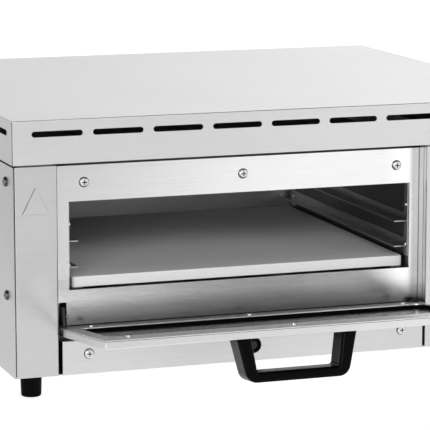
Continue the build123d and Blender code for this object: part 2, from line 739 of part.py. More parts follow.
def heater_supports():
    """Two strips that hold the heaters off the ceiling and the floor."""
    middle = (OPEN_LEFT + OPEN_RIGHT) / 2
    half = HEATER_PITCH * 1.5 + 14
    y0, y1 = (FRAME_BACK + CHAMBER_BACK) / 2 - 5, (FRAME_BACK + CHAMBER_BACK) / 2 + 5
    strips = []
    for bar_z, wall_z in (
        (upper_heater_z() - HEATER_R - RAIL_SHEET, CEILING_Z),
        (lower_heater_z() - HEATER_R - RAIL_SHEET, FLOOR_Z),
    ):
        strip = block(middle - half, middle + half, y0, y1, bar_z, bar_z + RAIL_SHEET)
        for side in (-1, 1):
            x = middle + half * side
            ends = sorted((x, x - RAIL_SHEET * side))
            strip += block(*ends, y0, y1, min(bar_z, wall_z), max(bar_z + RAIL_SHEET, wall_z))
        strips.append(strip)
    return Compound(strips)


def heater_bushes():
    """The ceramic bushes on the four heater ends, behind the insulation."""
    y0 = CHAMBER_BACK + SHEET + BACK_BLANKET
    rings = []
    for x, z in heater_ends():
        ring = rod_y(x, y0, y0 + BUSH_LENGTH, z, HEATER_R + BUSH_WALL)
        rings.append(ring - rod_y(x, y0 - 1, y0 + BUSH_LENGTH + 1, z, HEATER_R))
    return Compound(rings)


def insulation_blankets():
    """Five slabs of mineral wool round the chamber."""
    x0, x1 = OPEN_LEFT - SHEET, OPEN_RIGHT + SHEET
    y0, y1 = FRAME_BACK + LAP, CHAMBER_BACK + SHEET
    wall_low = HINGE_Z + LEVER_REACH + 10
    top = block(x0, x1, y0, y1, CEILING_Z + SHEET, CEILING_Z + SHEET + TOP_BLANKET)
    bottom = block(x0, x1, y0, y1, FLOOR_Z - SHEET - BOTTOM_BLANKET, FLOOR_Z - SHEET)
    left = block(x0 - BLANKET, x0, y0, y1, wall_low, CEILING_Z)
    right = block(x1, x1 + BLANKET, y0, y1, FLOOR_Z, CEILING_Z)
    back = block(x0, x1, y1, y1 + BACK_BLANKET, FLOOR_Z, CEILING_Z)
    for x, z in heater_ends():
        back -= rod_y(x, y1 - 2, y1 + BACK_BLANKET + 2, z, HEATER_R + FIT_GAP)
    right -= rod_x(x1 - 2, x1 + BLANKET + 2, bulb_y(), bulb_z(), HEATER_R)
    for rise in RACK_SCREW_RISES:
        for y in rack_screw_places():
            left -= rod_x(x0 - 5, x0 + 1, y, OPEN_BOTTOM + rise, SMALL_SHANK_R)
            right -= rod_x(x1 - 1, x1 + 5, y, OPEN_BOTTOM + rise, SMALL_SHANK_R)
    return Compound([top, bottom, left, right, back])


# ---- door: every piece is drawn shut and then swung open ----
def door_outer_skin():
    """The tray that makes the door's outer face and its edges."""
    rim_back = DOOR_BACK - SHEET
    skin = block(DOOR_LEFT, DOOR_RIGHT, DOOR_FRONT, rim_back, DOOR_BOTTOM, DOOR_TOP)
    front_edges = skin.edges().group_by(Axis.Y)[0] + skin.edges().filter_by(Axis.Y)
    skin = fillet(front_edges, BEND)
    skin -= block(
        DOOR_LEFT + SHEET,
        DOOR_RIGHT - SHEET,
        DOOR_FRONT + SHEET,
        rim_back + 1,
        DOOR_BOTTOM + SHEET,
        DOOR_TOP - SHEET,
    )
    for x in (DOOR_LEFT, DOOR_RIGHT - ARM_WIDTH - 1):
        skin -= block(
            x - 1,
            x + ARM_WIDTH + 2,
            DOOR_FRONT + SHEET,
            DOOR_BACK + 1,
            DOOR_BOTTOM - 1,
            DOOR_BOTTOM + ARM_LENGTH + SHEET,
        )
    for x in handle_screw_places():
        skin -= rod_y(x, DOOR_FRONT - 2, DOOR_FRONT + 3, handle_z(), SHANK_R)
    return swung(skin)


def pocket(grow):
    """The outline of the door's inner window, as a cutter, made wider all round by grow."""
    cutter = block(
        OPEN_LEFT - grow,
        OPEN_RIGHT + grow,
        DOOR_FRONT,
        DOOR_BACK + 5,
        DOOR_BOTTOM + WINDOW_LOW - grow,
        OPEN_TOP + grow,
    )
    return fillet(cutter.edges().filter_by(Axis.Y), POCKET_CORNER + grow)


def door_screw_spots():
    """The x and z places of the inner frame's screws, with the door shut."""
    rows = (DOOR_BOTTOM + DOOR_SCREW_LOW, DOOR_TOP - DOOR_SCREW_HIGH)
    return [(x, z) for x in FRAME_SCREW_X for z in rows]


def door_inner_frame():
    """The inner sheet of the door, with a rounded window and notches for the hinge arms."""
    sheet = block(DOOR_LEFT, DOOR_RIGHT, DOOR_BACK - SHEET, DOOR_BACK, DOOR_BOTTOM, DOOR_TOP)
    sheet -= pocket(0)
    for x in (DOOR_LEFT, DOOR_RIGHT - ARM_WIDTH):
        sheet -= block(
            x - 0.5,
            x + ARM_WIDTH + 0.5,
            DOOR_BACK - 2,
            DOOR_BACK + 1,
            DOOR_BOTTOM - 1,
            HINGE_Z + KNUCKLE_R + 1,
        )
    for x, z in door_screw_spots():
        sheet -= rod_y(x, DOOR_BACK - 3, DOOR_BACK + 1, z, SMALL_SHANK_R)
    return swung(sheet)


def door_reflector():
    """The flat sheet under the window, which throws the heat back."""
    back = DOOR_BACK - REFLECTOR_DROP
    inset = ARM_WIDTH + 2
    sheet = block(
        DOOR_LEFT + inset,
        DOOR_RIGHT - inset,
        back - SHEET * 0.8,
        back,
        DOOR_BOTTOM + SHEET + 1,
        DOOR_TOP - SHEET - 1,
    )
    for x, z in door_screw_spots():
        sheet -= rod_y(x, DOOR_FRONT, DOOR_BACK, z, SMALL_SHANK_R)
    return swung(sheet)


def door_seal():
    """The black fibre seal between the inner frame and the reflector, round the window."""
    ring = pocket(SEAL_WIDTH) - pocket(0)
    keep = block(
        DOOR_LEFT,
        DOOR_RIGHT,
        DOOR_BACK - REFLECTOR_DROP,
        DOOR_BACK - SHEET,
        DOOR_BOTTOM,
        DOOR_TOP,
    )
    return swung(ring & keep)


def door_insulation():
    """The thin fibre board between the reflector and the outer skin."""
    inset = ARM_WIDTH + 2
    board = block(
        DOOR_LEFT + inset,
        DOOR_RIGHT - inset,
        DOOR_FRONT + SHEET,
        DOOR_BACK - REFLECTOR_DROP - SHEET * 0.8,
        DOOR_BOTTOM + SHEET + 1,
        DOOR_TOP - SHEET - 1,
    )
    for x, z in door_screw_spots():
        board -= rod_y(x, DOOR_FRONT, DOOR_BACK, z, SMALL_SHANK_R)
    for x in handle_screw_places():
        board -= rod_y(x, DOOR_FRONT, DOOR_BACK, handle_z(), SMALL_HEAD_R + FIT_GAP)
    return swung(board)


def door_screws():
    """The small screws that hold the inner frame to the outer skin."""
    length = DOOR_THICK - SHEET
    screw = cross_screw(SMALL_HEAD_R - 0.6, SMALL_HEAD_H * 0.8, SMALL_SHANK_R, length)
    screws = [facing_back(x, DOOR_BACK, z) * screw for x, z in door_screw_spots()]
    return swung(Compound(screws))


def handle_z():
    """The height of the handle's middle with the door shut."""
    return DOOR_TOP - HANDLE_SETBACK - HANDLE_DEPTH / 2


def handle_screw_places():
    """The x places of the handle's screws."""
    reach = HANDLE_WIDTH / 2 - HANDLE_BAR / 2 - 1
    return (DOOR_MID - reach, DOOR_MID + reach)


def door_handle():
    """The bow handle: two tapered legs and a straight grip with rounded corners."""
    half, tip = HANDLE_WIDTH / 2, HANDLE_WIDTH / 2 - HANDLE_TAPER
    reach = HANDLE_REACH
    outer = make_face(Polyline((-half, 0), (half, 0), (tip, -reach), (-tip, -reach), close=True))
    outer = fillet(outer.vertices().group_by(Axis.Y)[0], HANDLE_CORNER)
    top, low = half - HANDLE_BAR - 1.5, tip - HANDLE_BAR + 3
    inner_reach = reach - HANDLE_GRIP
    inner = make_face(
        Polyline((-top, 1), (top, 1), (low, -inner_reach), (-low, -inner_reach), close=True)
    )
    inner = fillet(inner.vertices().group_by(Axis.Y)[0], 3.0)
    bow = extrude(outer - inner, HANDLE_DEPTH / 2, both=True)
    rim = bow.edges().group_by(Axis.Z)
    bow = fillet(rim[0] + rim[-1], 3.0)
    bow = Pos(DOOR_MID, DOOR_FRONT, handle_z()) * bow
    for x in handle_screw_places():
        bow -= rod_y(x, DOOR_FRONT - 14, DOOR_FRONT + 1, handle_z(), SMALL_SHANK_R)
    return swung(bow)


def handle_screws():
    """The two screws that hold the handle, with their heads inside the door."""
    screw = cross_screw(SMALL_HEAD_R, HANDLE_HEAD_H, SMALL_SHANK_R, HANDLE_SHANK_LENGTH)
    places = [facing_back(x, DOOR_FRONT + SHEET, handle_z()) * screw for x in handle_screw_places()]
    return swung(Compound(places))


def hinge_arm(side):
    """The black arm in the door's lower corner, bored for the hinge pin. side is -1 left, 1 right."""
    x = DOOR_LEFT if side < 0 else DOOR_RIGHT
    x0, x1 = sorted((x, x - ARM_WIDTH * side))
    arm = block(
        x0,
        x1,
        DOOR_FRONT + SHEET,
        DOOR_BACK - SHEET,
        HINGE_Z,
        DOOR_BOTTOM + ARM_LENGTH,
    )
    arm += rod_x(x0, x1, HINGE_Y, HINGE_Z, KNUCKLE_R)
    arm -= block(
        x0 - 1, x1 + 1, DOOR_FRONT - 5, DOOR_FRONT + SHEET, HINGE_Z - 20, DOOR_BOTTOM + ARM_LENGTH
    )
    if side < 0:
        arm += block(
            LEVER_X,
            LEVER_X + LEVER_THICK,
            HINGE_Y,
            HINGE_Y + LEVER_REACH,
            HINGE_Z - LEVER_HALF,
            HINGE_Z + LEVER_HALF,
        )
        pin_end = SPRING_X + 1.6
        arm += rod_x(LEVER_X + 1, pin_end, HINGE_Y + SPRING_PIN_REACH, HINGE_Z, SPRING_PIN_R)
    arm -= rod_x(x0 - 1, x1 + 1, HINGE_Y, HINGE_Z, PIN_R + RUNNING_FIT)
    return swung(arm)


def hinge_pins():
    """The two headed pins that the door swings on."""
    pins = []
    for side, wall, edge in ((-1, RECESS_LEFT, DOOR_LEFT), (1, RECESS_RIGHT, DOOR_RIGHT)):
        head = sorted((wall + SHEET * side, wall + (SHEET + 3) * side))
        shaft = sorted((wall + (SHEET + 3) * side, edge - (ARM_WIDTH + 0.5) * side))
        pins.append(
            rod_x(*head, HINGE_Y, HINGE_Z, PIN_R + 2) + rod_x(*shaft, HINGE_Y, HINGE_Z, PIN_R)
        )
    return Compound(pins)


def spring_end():
    """The y and z of the lever's spring pin with the door open."""
    angle = math.radians(OPEN_ANGLE)
    y = HINGE_Y + SPRING_PIN_REACH * math.cos(angle)
    return y, HINGE_Z + SPRING_PIN_REACH * math.sin(angle)


def door_spring():
    """The coil spring that balances the door, from the lever's pin back to its anchor."""
    y, z = spring_end()
    eye = SPRING_PIN_R + WIRE_R + 0.1
    coil_end = COIL_START + COIL_PITCH * COIL_TURNS
    ring = Pos(SPRING_X, y, z) * Rot(0, 90, 0) * Torus(eye, WIRE_R)
    helix = Pos(SPRING_X, COIL_START, z) * Rot(-90, 0, 0) * Helix(
        COIL_PITCH, COIL_PITCH * COIL_TURNS, COIL_R
    )
    start = Plane(origin=helix @ 0, z_dir=helix % 0)
    coil = sweep(start * Circle(WIRE_R), path=helix, is_frenet=True)
    front = rod_y(SPRING_X, y + eye, COIL_START, z, WIRE_R)
    back = rod_y(SPRING_X, coil_end, ANCHOR_Y + 4, z, WIRE_R)
    across = [
        rod_x(SPRING_X, (helix @ t).X, (helix @ t).Y, z, WIRE_R) for t in (0, 1)
    ]
    spring = coil + front + back + across[0] + across[1] + ring
    return spring + Pos(SPRING_X, ANCHOR_Y + 4, z) * Sphere(2.2)


def spring_anchor():
    """The bracket on the base that holds the spring's back end."""
    _, z = spring_end()
    x0, x1 = SPRING_X - 7, SPRING_X + 3.5
    plate = block(x0, x1, ANCHOR_Y, ANCHOR_Y + 1.5, BASE_Z + SHEET, z + 8)
    plate += block(x0, x1, ANCHOR_Y, ANCHOR_Y + 20, BASE_Z + SHEET, BASE_Z + SHEET + 1.5)
    return plate - rod_y(SPRING_X, ANCHOR_Y - 2, ANCHOR_Y + 4, z, WIRE_R + 0.2)


# ---- controls and wiring ----
def heat_shield():
    """The sheet between the hot chamber and the controls."""
    shield = block(
        SHIELD_X,
        SHIELD_X + SHEET,
        FRAME_BACK + 4,
        DEPTH - FLANGE - 4,
        BASE_Z + SHEET,
        LID_BOTTOM + LAP,
    )
    shield += block(
        SHIELD_X,
        SHIELD_X + LAP,
        FRAME_BACK + 4,
        DEPTH - FLANGE - 4,
        BASE_Z + SHEET,
        BASE_Z + 2 * SHEET,
    )
    return shield - rod_x(SHIELD_X - 3, SHIELD_X + 4, bulb_y(), bulb_z(), HEATER_R)


def control_body(index):
    """The housing of one rotary control behind the panel, bored for its spindle."""
    z, (size, depth) = KNOB_Z[index], CONTROL_BODIES[index]
    half = size / 2
    body = block(CONTROL_X - half, CONTROL_X + half, SHEET + 2, SHEET + depth, z - half, z + half)
    body = fillet(body.edges().filter_by(Axis.Y), 3.0)
    body += rod_y(CONTROL_X, SHEET, SHEET + 3, z, SPINDLE_R + 3)
    return body - rod_y(CONTROL_X, -1, SPINDLE_REACH_IN + 1, z, SPINDLE_R + RUNNING_FIT)


def spindle(index):
    """The shaft of one rotary control."""
    return rod_y(CONTROL_X, -SPINDLE_REACH_OUT, SPINDLE_REACH_IN, KNOB_Z[index], SPINDLE_R)


def knob(index):
    """A round control knob with a raised bar to grip."""
    y0, y1 = -KNOB_STANDOFF - KNOB_DEPTH, -KNOB_STANDOFF
    z = KNOB_Z[index]
    skirt = rod_y(CONTROL_X, y1 - KNOB_SKIRT, y1, z, KNOB_R)
    skirt = fillet(skirt.edges().group_by(Axis.Y)[0], 1.5)
    drum = rod_y(CONTROL_X, y0, y1 - KNOB_SKIRT + 1, z, KNOB_GRIP_R)
    bar = (CONTROL_X - KNOB_BAR_HALF, CONTROL_X + KNOB_BAR_HALF)
    flats = block(*bar, y0 - 1, y1 - KNOB_SKIRT, z - KNOB_R, z + KNOB_R)
    drum = drum & flats
    drum = fillet(drum.edges().group_by(Axis.Y)[0], 1.2)
    whole = skirt + drum
    pointer = block(CONTROL_X - 0.6, CONTROL_X + 0.6, y0 - 1, y0 + 0.5, z + 4, z + KNOB_R + 1)
    whole -= pointer
    return whole - rod_y(CONTROL_X, -SPINDLE_REACH_OUT, 5, z, SPINDLE_R)


def lamp_z(index):
    """The height of a pilot lamp."""
    return KNOB_Z[0] - LAMP_PITCH * index


def pilot_lamp_bodies():
    """The two lamp holders behind the panel, with their bezels in front of it."""
    holders = []
    for i in range(2):
        x, z = CONTROL_X + LAMP_OFFSET, lamp_z(i)
        holder = rod_y(x, -LAMP_BEZEL_THICK, 0, z, LAMP_R + LAMP_BEZEL)
        holder += rod_y(x, -LAMP_BEZEL_THICK, LAMP_LENGTH, z, LAMP_R)
        holder -= rod_y(x, -LAMP_BEZEL_THICK - 1, LAMP_LENGTH / 4, z, LAMP_R - LAMP_WALL)
        holders.append(holder)
    return Compound(holders)


def lamp_lens(index):
    """A domed lamp lens seated in its holder."""
    x, z = CONTROL_X + LAMP_OFFSET, lamp_z(index)
    lens = rod_y(x, -LENS_REACH, LAMP_LENGTH / 4, z, LAMP_R - LAMP_WALL)
    return fillet(lens.edges().group_by(Axis.Y)[0], LENS_REACH / 2)


def bulb_y():
    """How far back the thermostat's bulb lies."""
    return FRAME_BACK + CHAMBER_DEPTH * 0.6


def bulb_z():
    """The height of the thermostat's bulb."""
    return CEILING_Z - 7


def capillary():
    """The thermostat's thin tube and its sensing bulb inside the chamber."""
    x, z, start = CONTROL_X + 8, bulb_z(), SHEET + CONTROL_BODIES[0][1]
    bulb_end = OPEN_RIGHT - 3
    points = [(x, start, z), (x, bulb_y(), z), (bulb_end - 2, bulb_y(), z)]
    line = tube(points, 25.0, CAPILLARY_R)
    return line + rod_x(bulb_end - BULB_LENGTH, bulb_end, bulb_y(), z, BULB_R)


def wiring_loom():
    """The sleeved wires from the terminal block to the controls."""
    x, low, high = CONTROL_X - 12, BASE_Z + 24, KNOB_Z[0] - 12
    rise, start = 100.0, DEPTH - TERMINAL_BACK - TERMINAL_DEEP
    end = SHEET + CONTROL_BODIES[0][1]
    points = [(x, start, low), (x, rise, low), (x, rise, high), (x, end, high)]
    return tube(points, LOOM_BEND, LOOM_R)


def terminal_block():
    """The ceramic block where the supply meets the oven's wires."""
    x0, x1 = CONTROL_X - TERMINAL_LEFT, CONTROL_X + TERMINAL_RIGHT
    y1 = DEPTH - TERMINAL_BACK
    top = BASE_Z + TERMINAL_TOP
    body = block(x0, x1, y1 - TERMINAL_DEEP, y1, BASE_Z + SHEET, top)
    for i in (-1, 0, 1):
        x = (x0 + x1) / 2 + TERMINAL_PITCH * i
        body -= rod_z(x, y1 - TERMINAL_DEEP / 2, top - 8, top + 2, WIRE_HOLE_R)
    return body


def cable_gland():
    """The gland in the back wall, with its locknut inside."""
    y = DEPTH
    hexagon = Pos(GLAND_X, y, GLAND_HEIGHT) * Rot(-90, 0, 0)
    body = hexagon * extrude(RegularPolygon(GLAND_R + 4, 6), 6)
    dome = rod_y(GLAND_X, y + 6, y + GLAND_REACH, GLAND_HEIGHT, GLAND_R)
    dome = fillet(dome.edges().group_by(Axis.Y)[-1], 3.5)
    body += dome + rod_y(GLAND_X, y - 12, y + 1, GLAND_HEIGHT, GLAND_R - 1)
    body -= rod_y(GLAND_X, y - 15, y + GLAND_REACH + 5, GLAND_HEIGHT, CORD_R)
    nut = Pos(GLAND_X, y - SHEET, GLAND_HEIGHT) * Rot(90, 0, 0) * extrude(
        RegularPolygon(GLAND_R + 4, 6), GLAND_NUT
    )
    nut -= rod_y(GLAND_X, y - 10, y + 2, GLAND_HEIGHT, GLAND_R - 1)
    return Compound([body, nut])


NODES = {
    "top_cover": top_cover,
    "left_side_panel": lambda: side_panel(-1),
    "right_side_panel": lambda: side_panel(1),
    "left_pillar": left_pillar,
    "control_panel": control_panel,
    "rear_panel": rear_panel,
    "base_pan": base_pan,
    "bottom_skirt": bottom_skirt,
    "skirt_buffer": skirt_buffer,
    "buffer_screw": buffer_screw,
    "feet": feet,
    "foot_screws": foot_screws,
    "casing_screws": casing_screws,
    "front_screws": front_screws,
    "front_frame": front_frame,
    "chamber_left_wall": lambda: chamber_side(-1),
    "chamber_right_wall": lambda: chamber_side(1),
    "chamber_back_wall": chamber_back_wall,
    "chamber_ceiling": chamber_ceiling,
    "chamber_floor": chamber_floor,
    "baking_stone": baking_stone,
    "stone_ledges": stone_ledges,
    "left_tray_rack": lambda: tray_rack(-1),
    "right_tray_rack": lambda: tray_rack(1),
    "rack_screws": rack_screws,
    "upper_heater": lambda: heater(upper_heater_z()),
    "lower_heater": lambda: heater(lower_heater_z()),
    "heater_supports": heater_supports,
    "heater_bushes": heater_bushes,
    "insulation_blankets": insulation_blankets,
    "door_outer_skin": door_outer_skin,
    "door_inner_frame": door_inner_frame,
    "door_reflector": door_reflector,
    "door_seal": door_seal,
    "door_insulation": door_insulation,
    "door_screws": door_screws,
    "door_handle": door_handle,
    "handle_screws": handle_screws,
    "hinge_arm_left": lambda: hinge_arm(-1),
    "hinge_arm_right": lambda: hinge_arm(1),
    "hinge_pins": hinge_pins,
    "door_spring": door_spring,
    "spring_anchor": spring_anchor,
    "heat_shield": heat_shield,
    "thermostat_body": lambda: control_body(0),
    "timer_body": lambda: control_body(1),
    "selector_body": lambda: control_body(2),
    "thermostat_spindle": lambda: spindle(0),
    "timer_spindle": lambda: spindle(1),
    "selector_spindle": lambda: spindle(2),
    "thermostat_knob": lambda: knob(0),
    "timer_knob": lambda: knob(1),
    "selector_knob": lambda: knob(2),
    "pilot_lamp_bodies": pilot_lamp_bodies,
    "power_lamp_lens": lambda: lamp_lens(0),
    "heating_lamp_lens": lambda: lamp_lens(1),
    "thermostat_capillary": capillary,
    "wiring_loom": wiring_loom,
    "terminal_block": terminal_block,
    "cable_gland": cable_gland,
}


def main():
    """Builds every node and writes its STEP file."""
    os.makedirs("parts", exist_ok=True)
    move = Pos(0, -DEPTH / 2, 0)
    for name, make in NODES.items():
        export_step(move * make(), f"parts/{name}.step")


if __name__ == "__main__":
    main()
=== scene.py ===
"""Looks of a countertop pizza oven: finishes, fine pieces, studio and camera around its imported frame."""

from __future__ import annotations

import logging
import math
from dataclasses import dataclass
from enum import Enum
from typing import Any, Sequence

import bmesh
import bpy
import numpy as np
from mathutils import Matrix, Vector

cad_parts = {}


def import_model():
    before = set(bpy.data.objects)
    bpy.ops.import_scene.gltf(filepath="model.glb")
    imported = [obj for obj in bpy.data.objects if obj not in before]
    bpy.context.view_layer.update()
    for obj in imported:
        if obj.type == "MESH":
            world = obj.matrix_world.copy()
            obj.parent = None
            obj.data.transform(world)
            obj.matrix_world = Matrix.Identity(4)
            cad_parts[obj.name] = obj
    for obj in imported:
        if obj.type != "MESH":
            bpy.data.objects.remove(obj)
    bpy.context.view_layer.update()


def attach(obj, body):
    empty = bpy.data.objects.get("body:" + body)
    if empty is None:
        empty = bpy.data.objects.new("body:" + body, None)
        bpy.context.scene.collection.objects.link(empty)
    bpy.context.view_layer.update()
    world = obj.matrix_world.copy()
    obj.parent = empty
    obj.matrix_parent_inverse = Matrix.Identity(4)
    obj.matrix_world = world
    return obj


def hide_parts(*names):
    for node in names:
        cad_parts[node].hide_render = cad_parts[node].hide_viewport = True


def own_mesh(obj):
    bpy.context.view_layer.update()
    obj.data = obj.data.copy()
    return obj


logging.basicConfig(level=logging.INFO, format="%(message)s")
LOG = logging.getLogger("pizza_oven")

MM = 0.001
HAIR = 2e-5

# A painted fade of light or shade: an axis, where the fade starts and ends along it, and the share of the tone at
# its start and end.
Fade = tuple[str, float, float, float, float]


class Grain(Enum):
    """The way that a brushed sheet's lines run."""

    ALONG_X = "x"
    ALONG_Y = "y"


class Val:
    """A number on a shader socket, with Python arithmetic that adds Math nodes."""

    def __init__(self, bench: "Bench", socket: Any) -> None:
        """Keeps the socket.

        Args:
            bench: The bench that makes nodes.
            socket: An output socket.
        """
        self.bench = bench
        self.socket = socket

    def _math(self, operation: str, *values: Any) -> "Val":
        """Adds one Math node and returns its value."""
        return self.bench.node("ShaderNodeMath", {"operation": operation}, dict(enumerate(values)))

    def __add__(self, other: Any) -> "Val":
        """Sum."""
        return self._math("ADD", self, other)

    __radd__ = __add__

    def __mul__(self, other: Any) -> "Val":
        """Product."""
        return self._math("MULTIPLY", self, other)

    __rmul__ = __mul__

    def __sub__(self, other: Any) -> "Val":
        """Difference."""
        return self._math("SUBTRACT", self, other)

    def __rsub__(self, other: Any) -> "Val":
        """Reflected difference."""
        return self._math("SUBTRACT", other, self)

    def smooth(self, low: float, high: float, to_low: float = 0.0, to_high: float = 1.0) -> "Val":
        """Eases the value from one range into another.

        Args:
            low: Where the rise starts.
            high: Where the rise ends.
            to_low: The result at and below the start.
            to_high: The result at and above the end.

        Returns:
            The eased value.
        """
        settings = {"interpolation_type": "SMOOTHSTEP", "clamp": True}
        places = {"Value": self, "From Min": low, "From Max": high, "To Min": to_low, "To Max": to_high}
        return self.bench.node("ShaderNodeMapRange", settings, places)


class Bench:
    """Makes the nodes of one material."""

    def __init__(self, name: str) -> None:
        """Starts an empty material.

        Args:
            name: The material's name.
        """
        self.material = bpy.data.materials.new(name)
        self.material.use_nodes = True
        self.tree = self.material.node_tree
        self.tree.nodes.clear()
        self.place = self.node("ShaderNodeTexCoord", {}, {}, "Object")

    def node(self, kind: str, settings: dict[str, Any], values: dict[Any, Any], out: Any = 0) -> Val:
        """Adds a node, sets it up and joins or sets its sockets.

        Args:
            kind: The node's type.
            settings: Its settings, set first. A ramp's stops are a list of place and colour.
            values: Numbers, colours or other values for its inputs, by name or index.
            out: The output to return.

        Returns:
            The chosen output.
        """
        made = self.tree.nodes.new(kind)
        for name, value in settings.items():
            if name == "stops":
                ramp = made.color_ramp
                while len(ramp.elements) < len(value):
                    ramp.elements.new(0.5)
                for element, (spot, colour) in zip(ramp.elements, value):
                    element.position = spot
                    element.color = colour
            else:
                setattr(made, name, value)
        for name, value in values.items():
            if isinstance(value, Val):
                self.tree.links.new(value.socket, made.inputs[name])
            else:
                made.inputs[name].default_value = value
        return Val(self, made.outputs[out]) if made.outputs else Val(self, None)

    def axis(self, letter: str) -> Val:
        """One coordinate of the place, in metres."""
        return self.node("ShaderNodeSeparateXYZ", {}, {0: self.place}, letter.upper())

    def stretched(self, stretch: Sequence[float]) -> Val:
        """The place with each axis scaled."""
        return self.node("ShaderNodeMapping", {}, {"Vector": self.place, "Scale": tuple(stretch)})

    def noise(self, where: Val, scale: float, detail: float = 2.0, rough: float = 0.5) -> Val:
        """A soft random value between 0 and 1."""
        places = {"Vector": where, "Scale": scale, "Detail": detail, "Roughness": rough}
        return self.node("ShaderNodeTexNoise", {"noise_dimensions": "3D"}, places)

    def mix(self, share: Any, first: Sequence[float] | Val, second: Sequence[float] | Val) -> Val:
        """Mixes two colours.

        Args:
            share: How much of the second colour shows.
            first: The first colour.
            second: The second colour.

        Returns:
            The mixed colour.
        """
        return self.node("ShaderNodeMix", {"data_type": "RGBA"}, {0: share, 6: first, 7: second}, 2)

    def bump(self, height: Val, strength: float, distance: float, under: Val | None = None) -> Val:
        """A bumped normal."""
        places: dict[Any, Any] = {"Height": height, "Strength": strength, "Distance": distance}
        if under is not None:
            places["Normal"] = under
        return self.node("ShaderNodeBump", {}, places)

    def finish(self, values: dict[Any, Any]) -> bpy.types.Material:
        """Adds the shader and the output.

        Args:
            values: Numbers, colours or links for the shader's sockets.

        Returns:
            The finished material.
        """
        shader = self.node("ShaderNodeBsdfPrincipled", {}, values)
        self.node("ShaderNodeOutputMaterial", {}, {"Surface": shader})
        return self.material


def rgb(level: float, warm: float = 0.0) -> tuple[float, float, float, float]:
    """A grey, a little warmer or cooler when asked."""
    return (level * (1 + warm), level, level * (1 - warm), 1.0)


@dataclass(frozen=True)
class BrushedSteel:
    """Stainless sheet with fine lines along one axis."""

    name: str
    grain: Grain = Grain.ALONG_X
    level: float = 0.62
    warm: float = 0.0
    rough: float = 0.30
    line: float = 0.10
    cloud: float = 0.04
    pitch: float = 2600.0
    bump: float = 0.05
    # fades: painted light and shade, each a tone scale along one axis
    fades: tuple[Fade, ...] = ()
    line_length: float = 110.0
    cloud_size: float = 7.0

    def make(self) -> bpy.types.Material:
        """Builds the material: level + fine lines + wide lines + clouds, times the fades of painted light and
        shade.
        """
        bench = Bench(self.name)
        along = self.pitch / self.line_length
        stretch = {
            Grain.ALONG_X: (along, self.pitch, self.pitch),
            Grain.ALONG_Y: (self.pitch, along, self.pitch),
        }[self.grain]
        lines = bench.noise(bench.stretched(stretch), 1.0, 3.0, 0.6)
        wide = bench.noise(bench.stretched([s / 5 for s in stretch]), 1.0, 2.0, 0.5)
        cloud = bench.noise(bench.place, self.cloud_size, 2.0, 0.5)
        tone = self.level + self.line * (lines - 0.5)
        tone = tone + self.line * 0.35 * (wide - 0.5) + self.cloud * (cloud - 0.5)
        # Painted light and shade: each fade scales the tone along one axis.
        for letter, *span in self.fades:
            tone = tone * bench.axis(letter).smooth(*span)
        dark, light = rgb(0.0), rgb(1.0, self.warm)
        colour = bench.mix(tone, dark, light)
        rough = self.rough + 0.06 * (lines - 0.5) + 0.05 * (cloud - 0.5)
        normal = bench.bump(lines, self.bump, 0.0002)
        return bench.finish({"Base Color": colour, "Metallic": 1.0, "Roughness": rough, "Normal": normal})


@dataclass(frozen=True)
class PlainMetal:
    """Unbrushed metal: screws, pins, wire, tubes and mill sheet."""

    name: str
    level: float = 0.6
    warm: float = 0.0
    rough: float = 0.25
    patch: float = 0.06
    patch_size: float = 40.0

    def make(self) -> bpy.types.Material:
        """Builds the material."""
        bench = Bench(self.name)
        patches = bench.noise(bench.place, self.patch_size, 3.0, 0.6)
        tone = self.level + self.patch * 2 * (patches - 0.5)
        colour = bench.mix(tone, rgb(0.0), rgb(1.0, self.warm))
        rough = self.rough + 0.2 * (patches - 0.5)
        return bench.finish({"Base Color": colour, "Metallic": 1.0, "Roughness": rough})


@dataclass(frozen=True)
class MattSolid:
    """Rubber, moulded plastic, ceramic or fibre: a grained surface that isn't metal."""

    name: str
    colour: tuple[float, float, float] = (0.02, 0.02, 0.02)
    rough: float = 0.5
    grain_size: float = 1800.0
    grain_depth: float = 0.12
    mottle: float = 0.25
    coat: float = 0.0
    gloss: float = 0.5
    index: float = 1.5

    def make(self) -> bpy.types.Material:
        """Builds the material."""
        bench = Bench(self.name)
        grain = bench.noise(bench.place, self.grain_size, 2.0, 0.6)
        broad = bench.noise(bench.place, 60.0, 3.0, 0.6)
        low = tuple(c * (1 - self.mottle) for c in self.colour) + (1.0,)
        high = tuple(min(1.0, c * (1 + self.mottle)) for c in self.colour) + (1.0,)
        colour = bench.mix(broad, low, high)
        rough = self.rough + 0.12 * (broad - 0.5)
        normal = bench.bump(grain, self.grain_depth, 0.0003)
        values = {
            "Base Color": colour,
            "Roughness": rough,
            "Normal": normal,
            "Coat Weight": self.coat,
            "Specular IOR Level": self.gloss,
            "IOR": self.index,
        }
        return bench.finish(values)


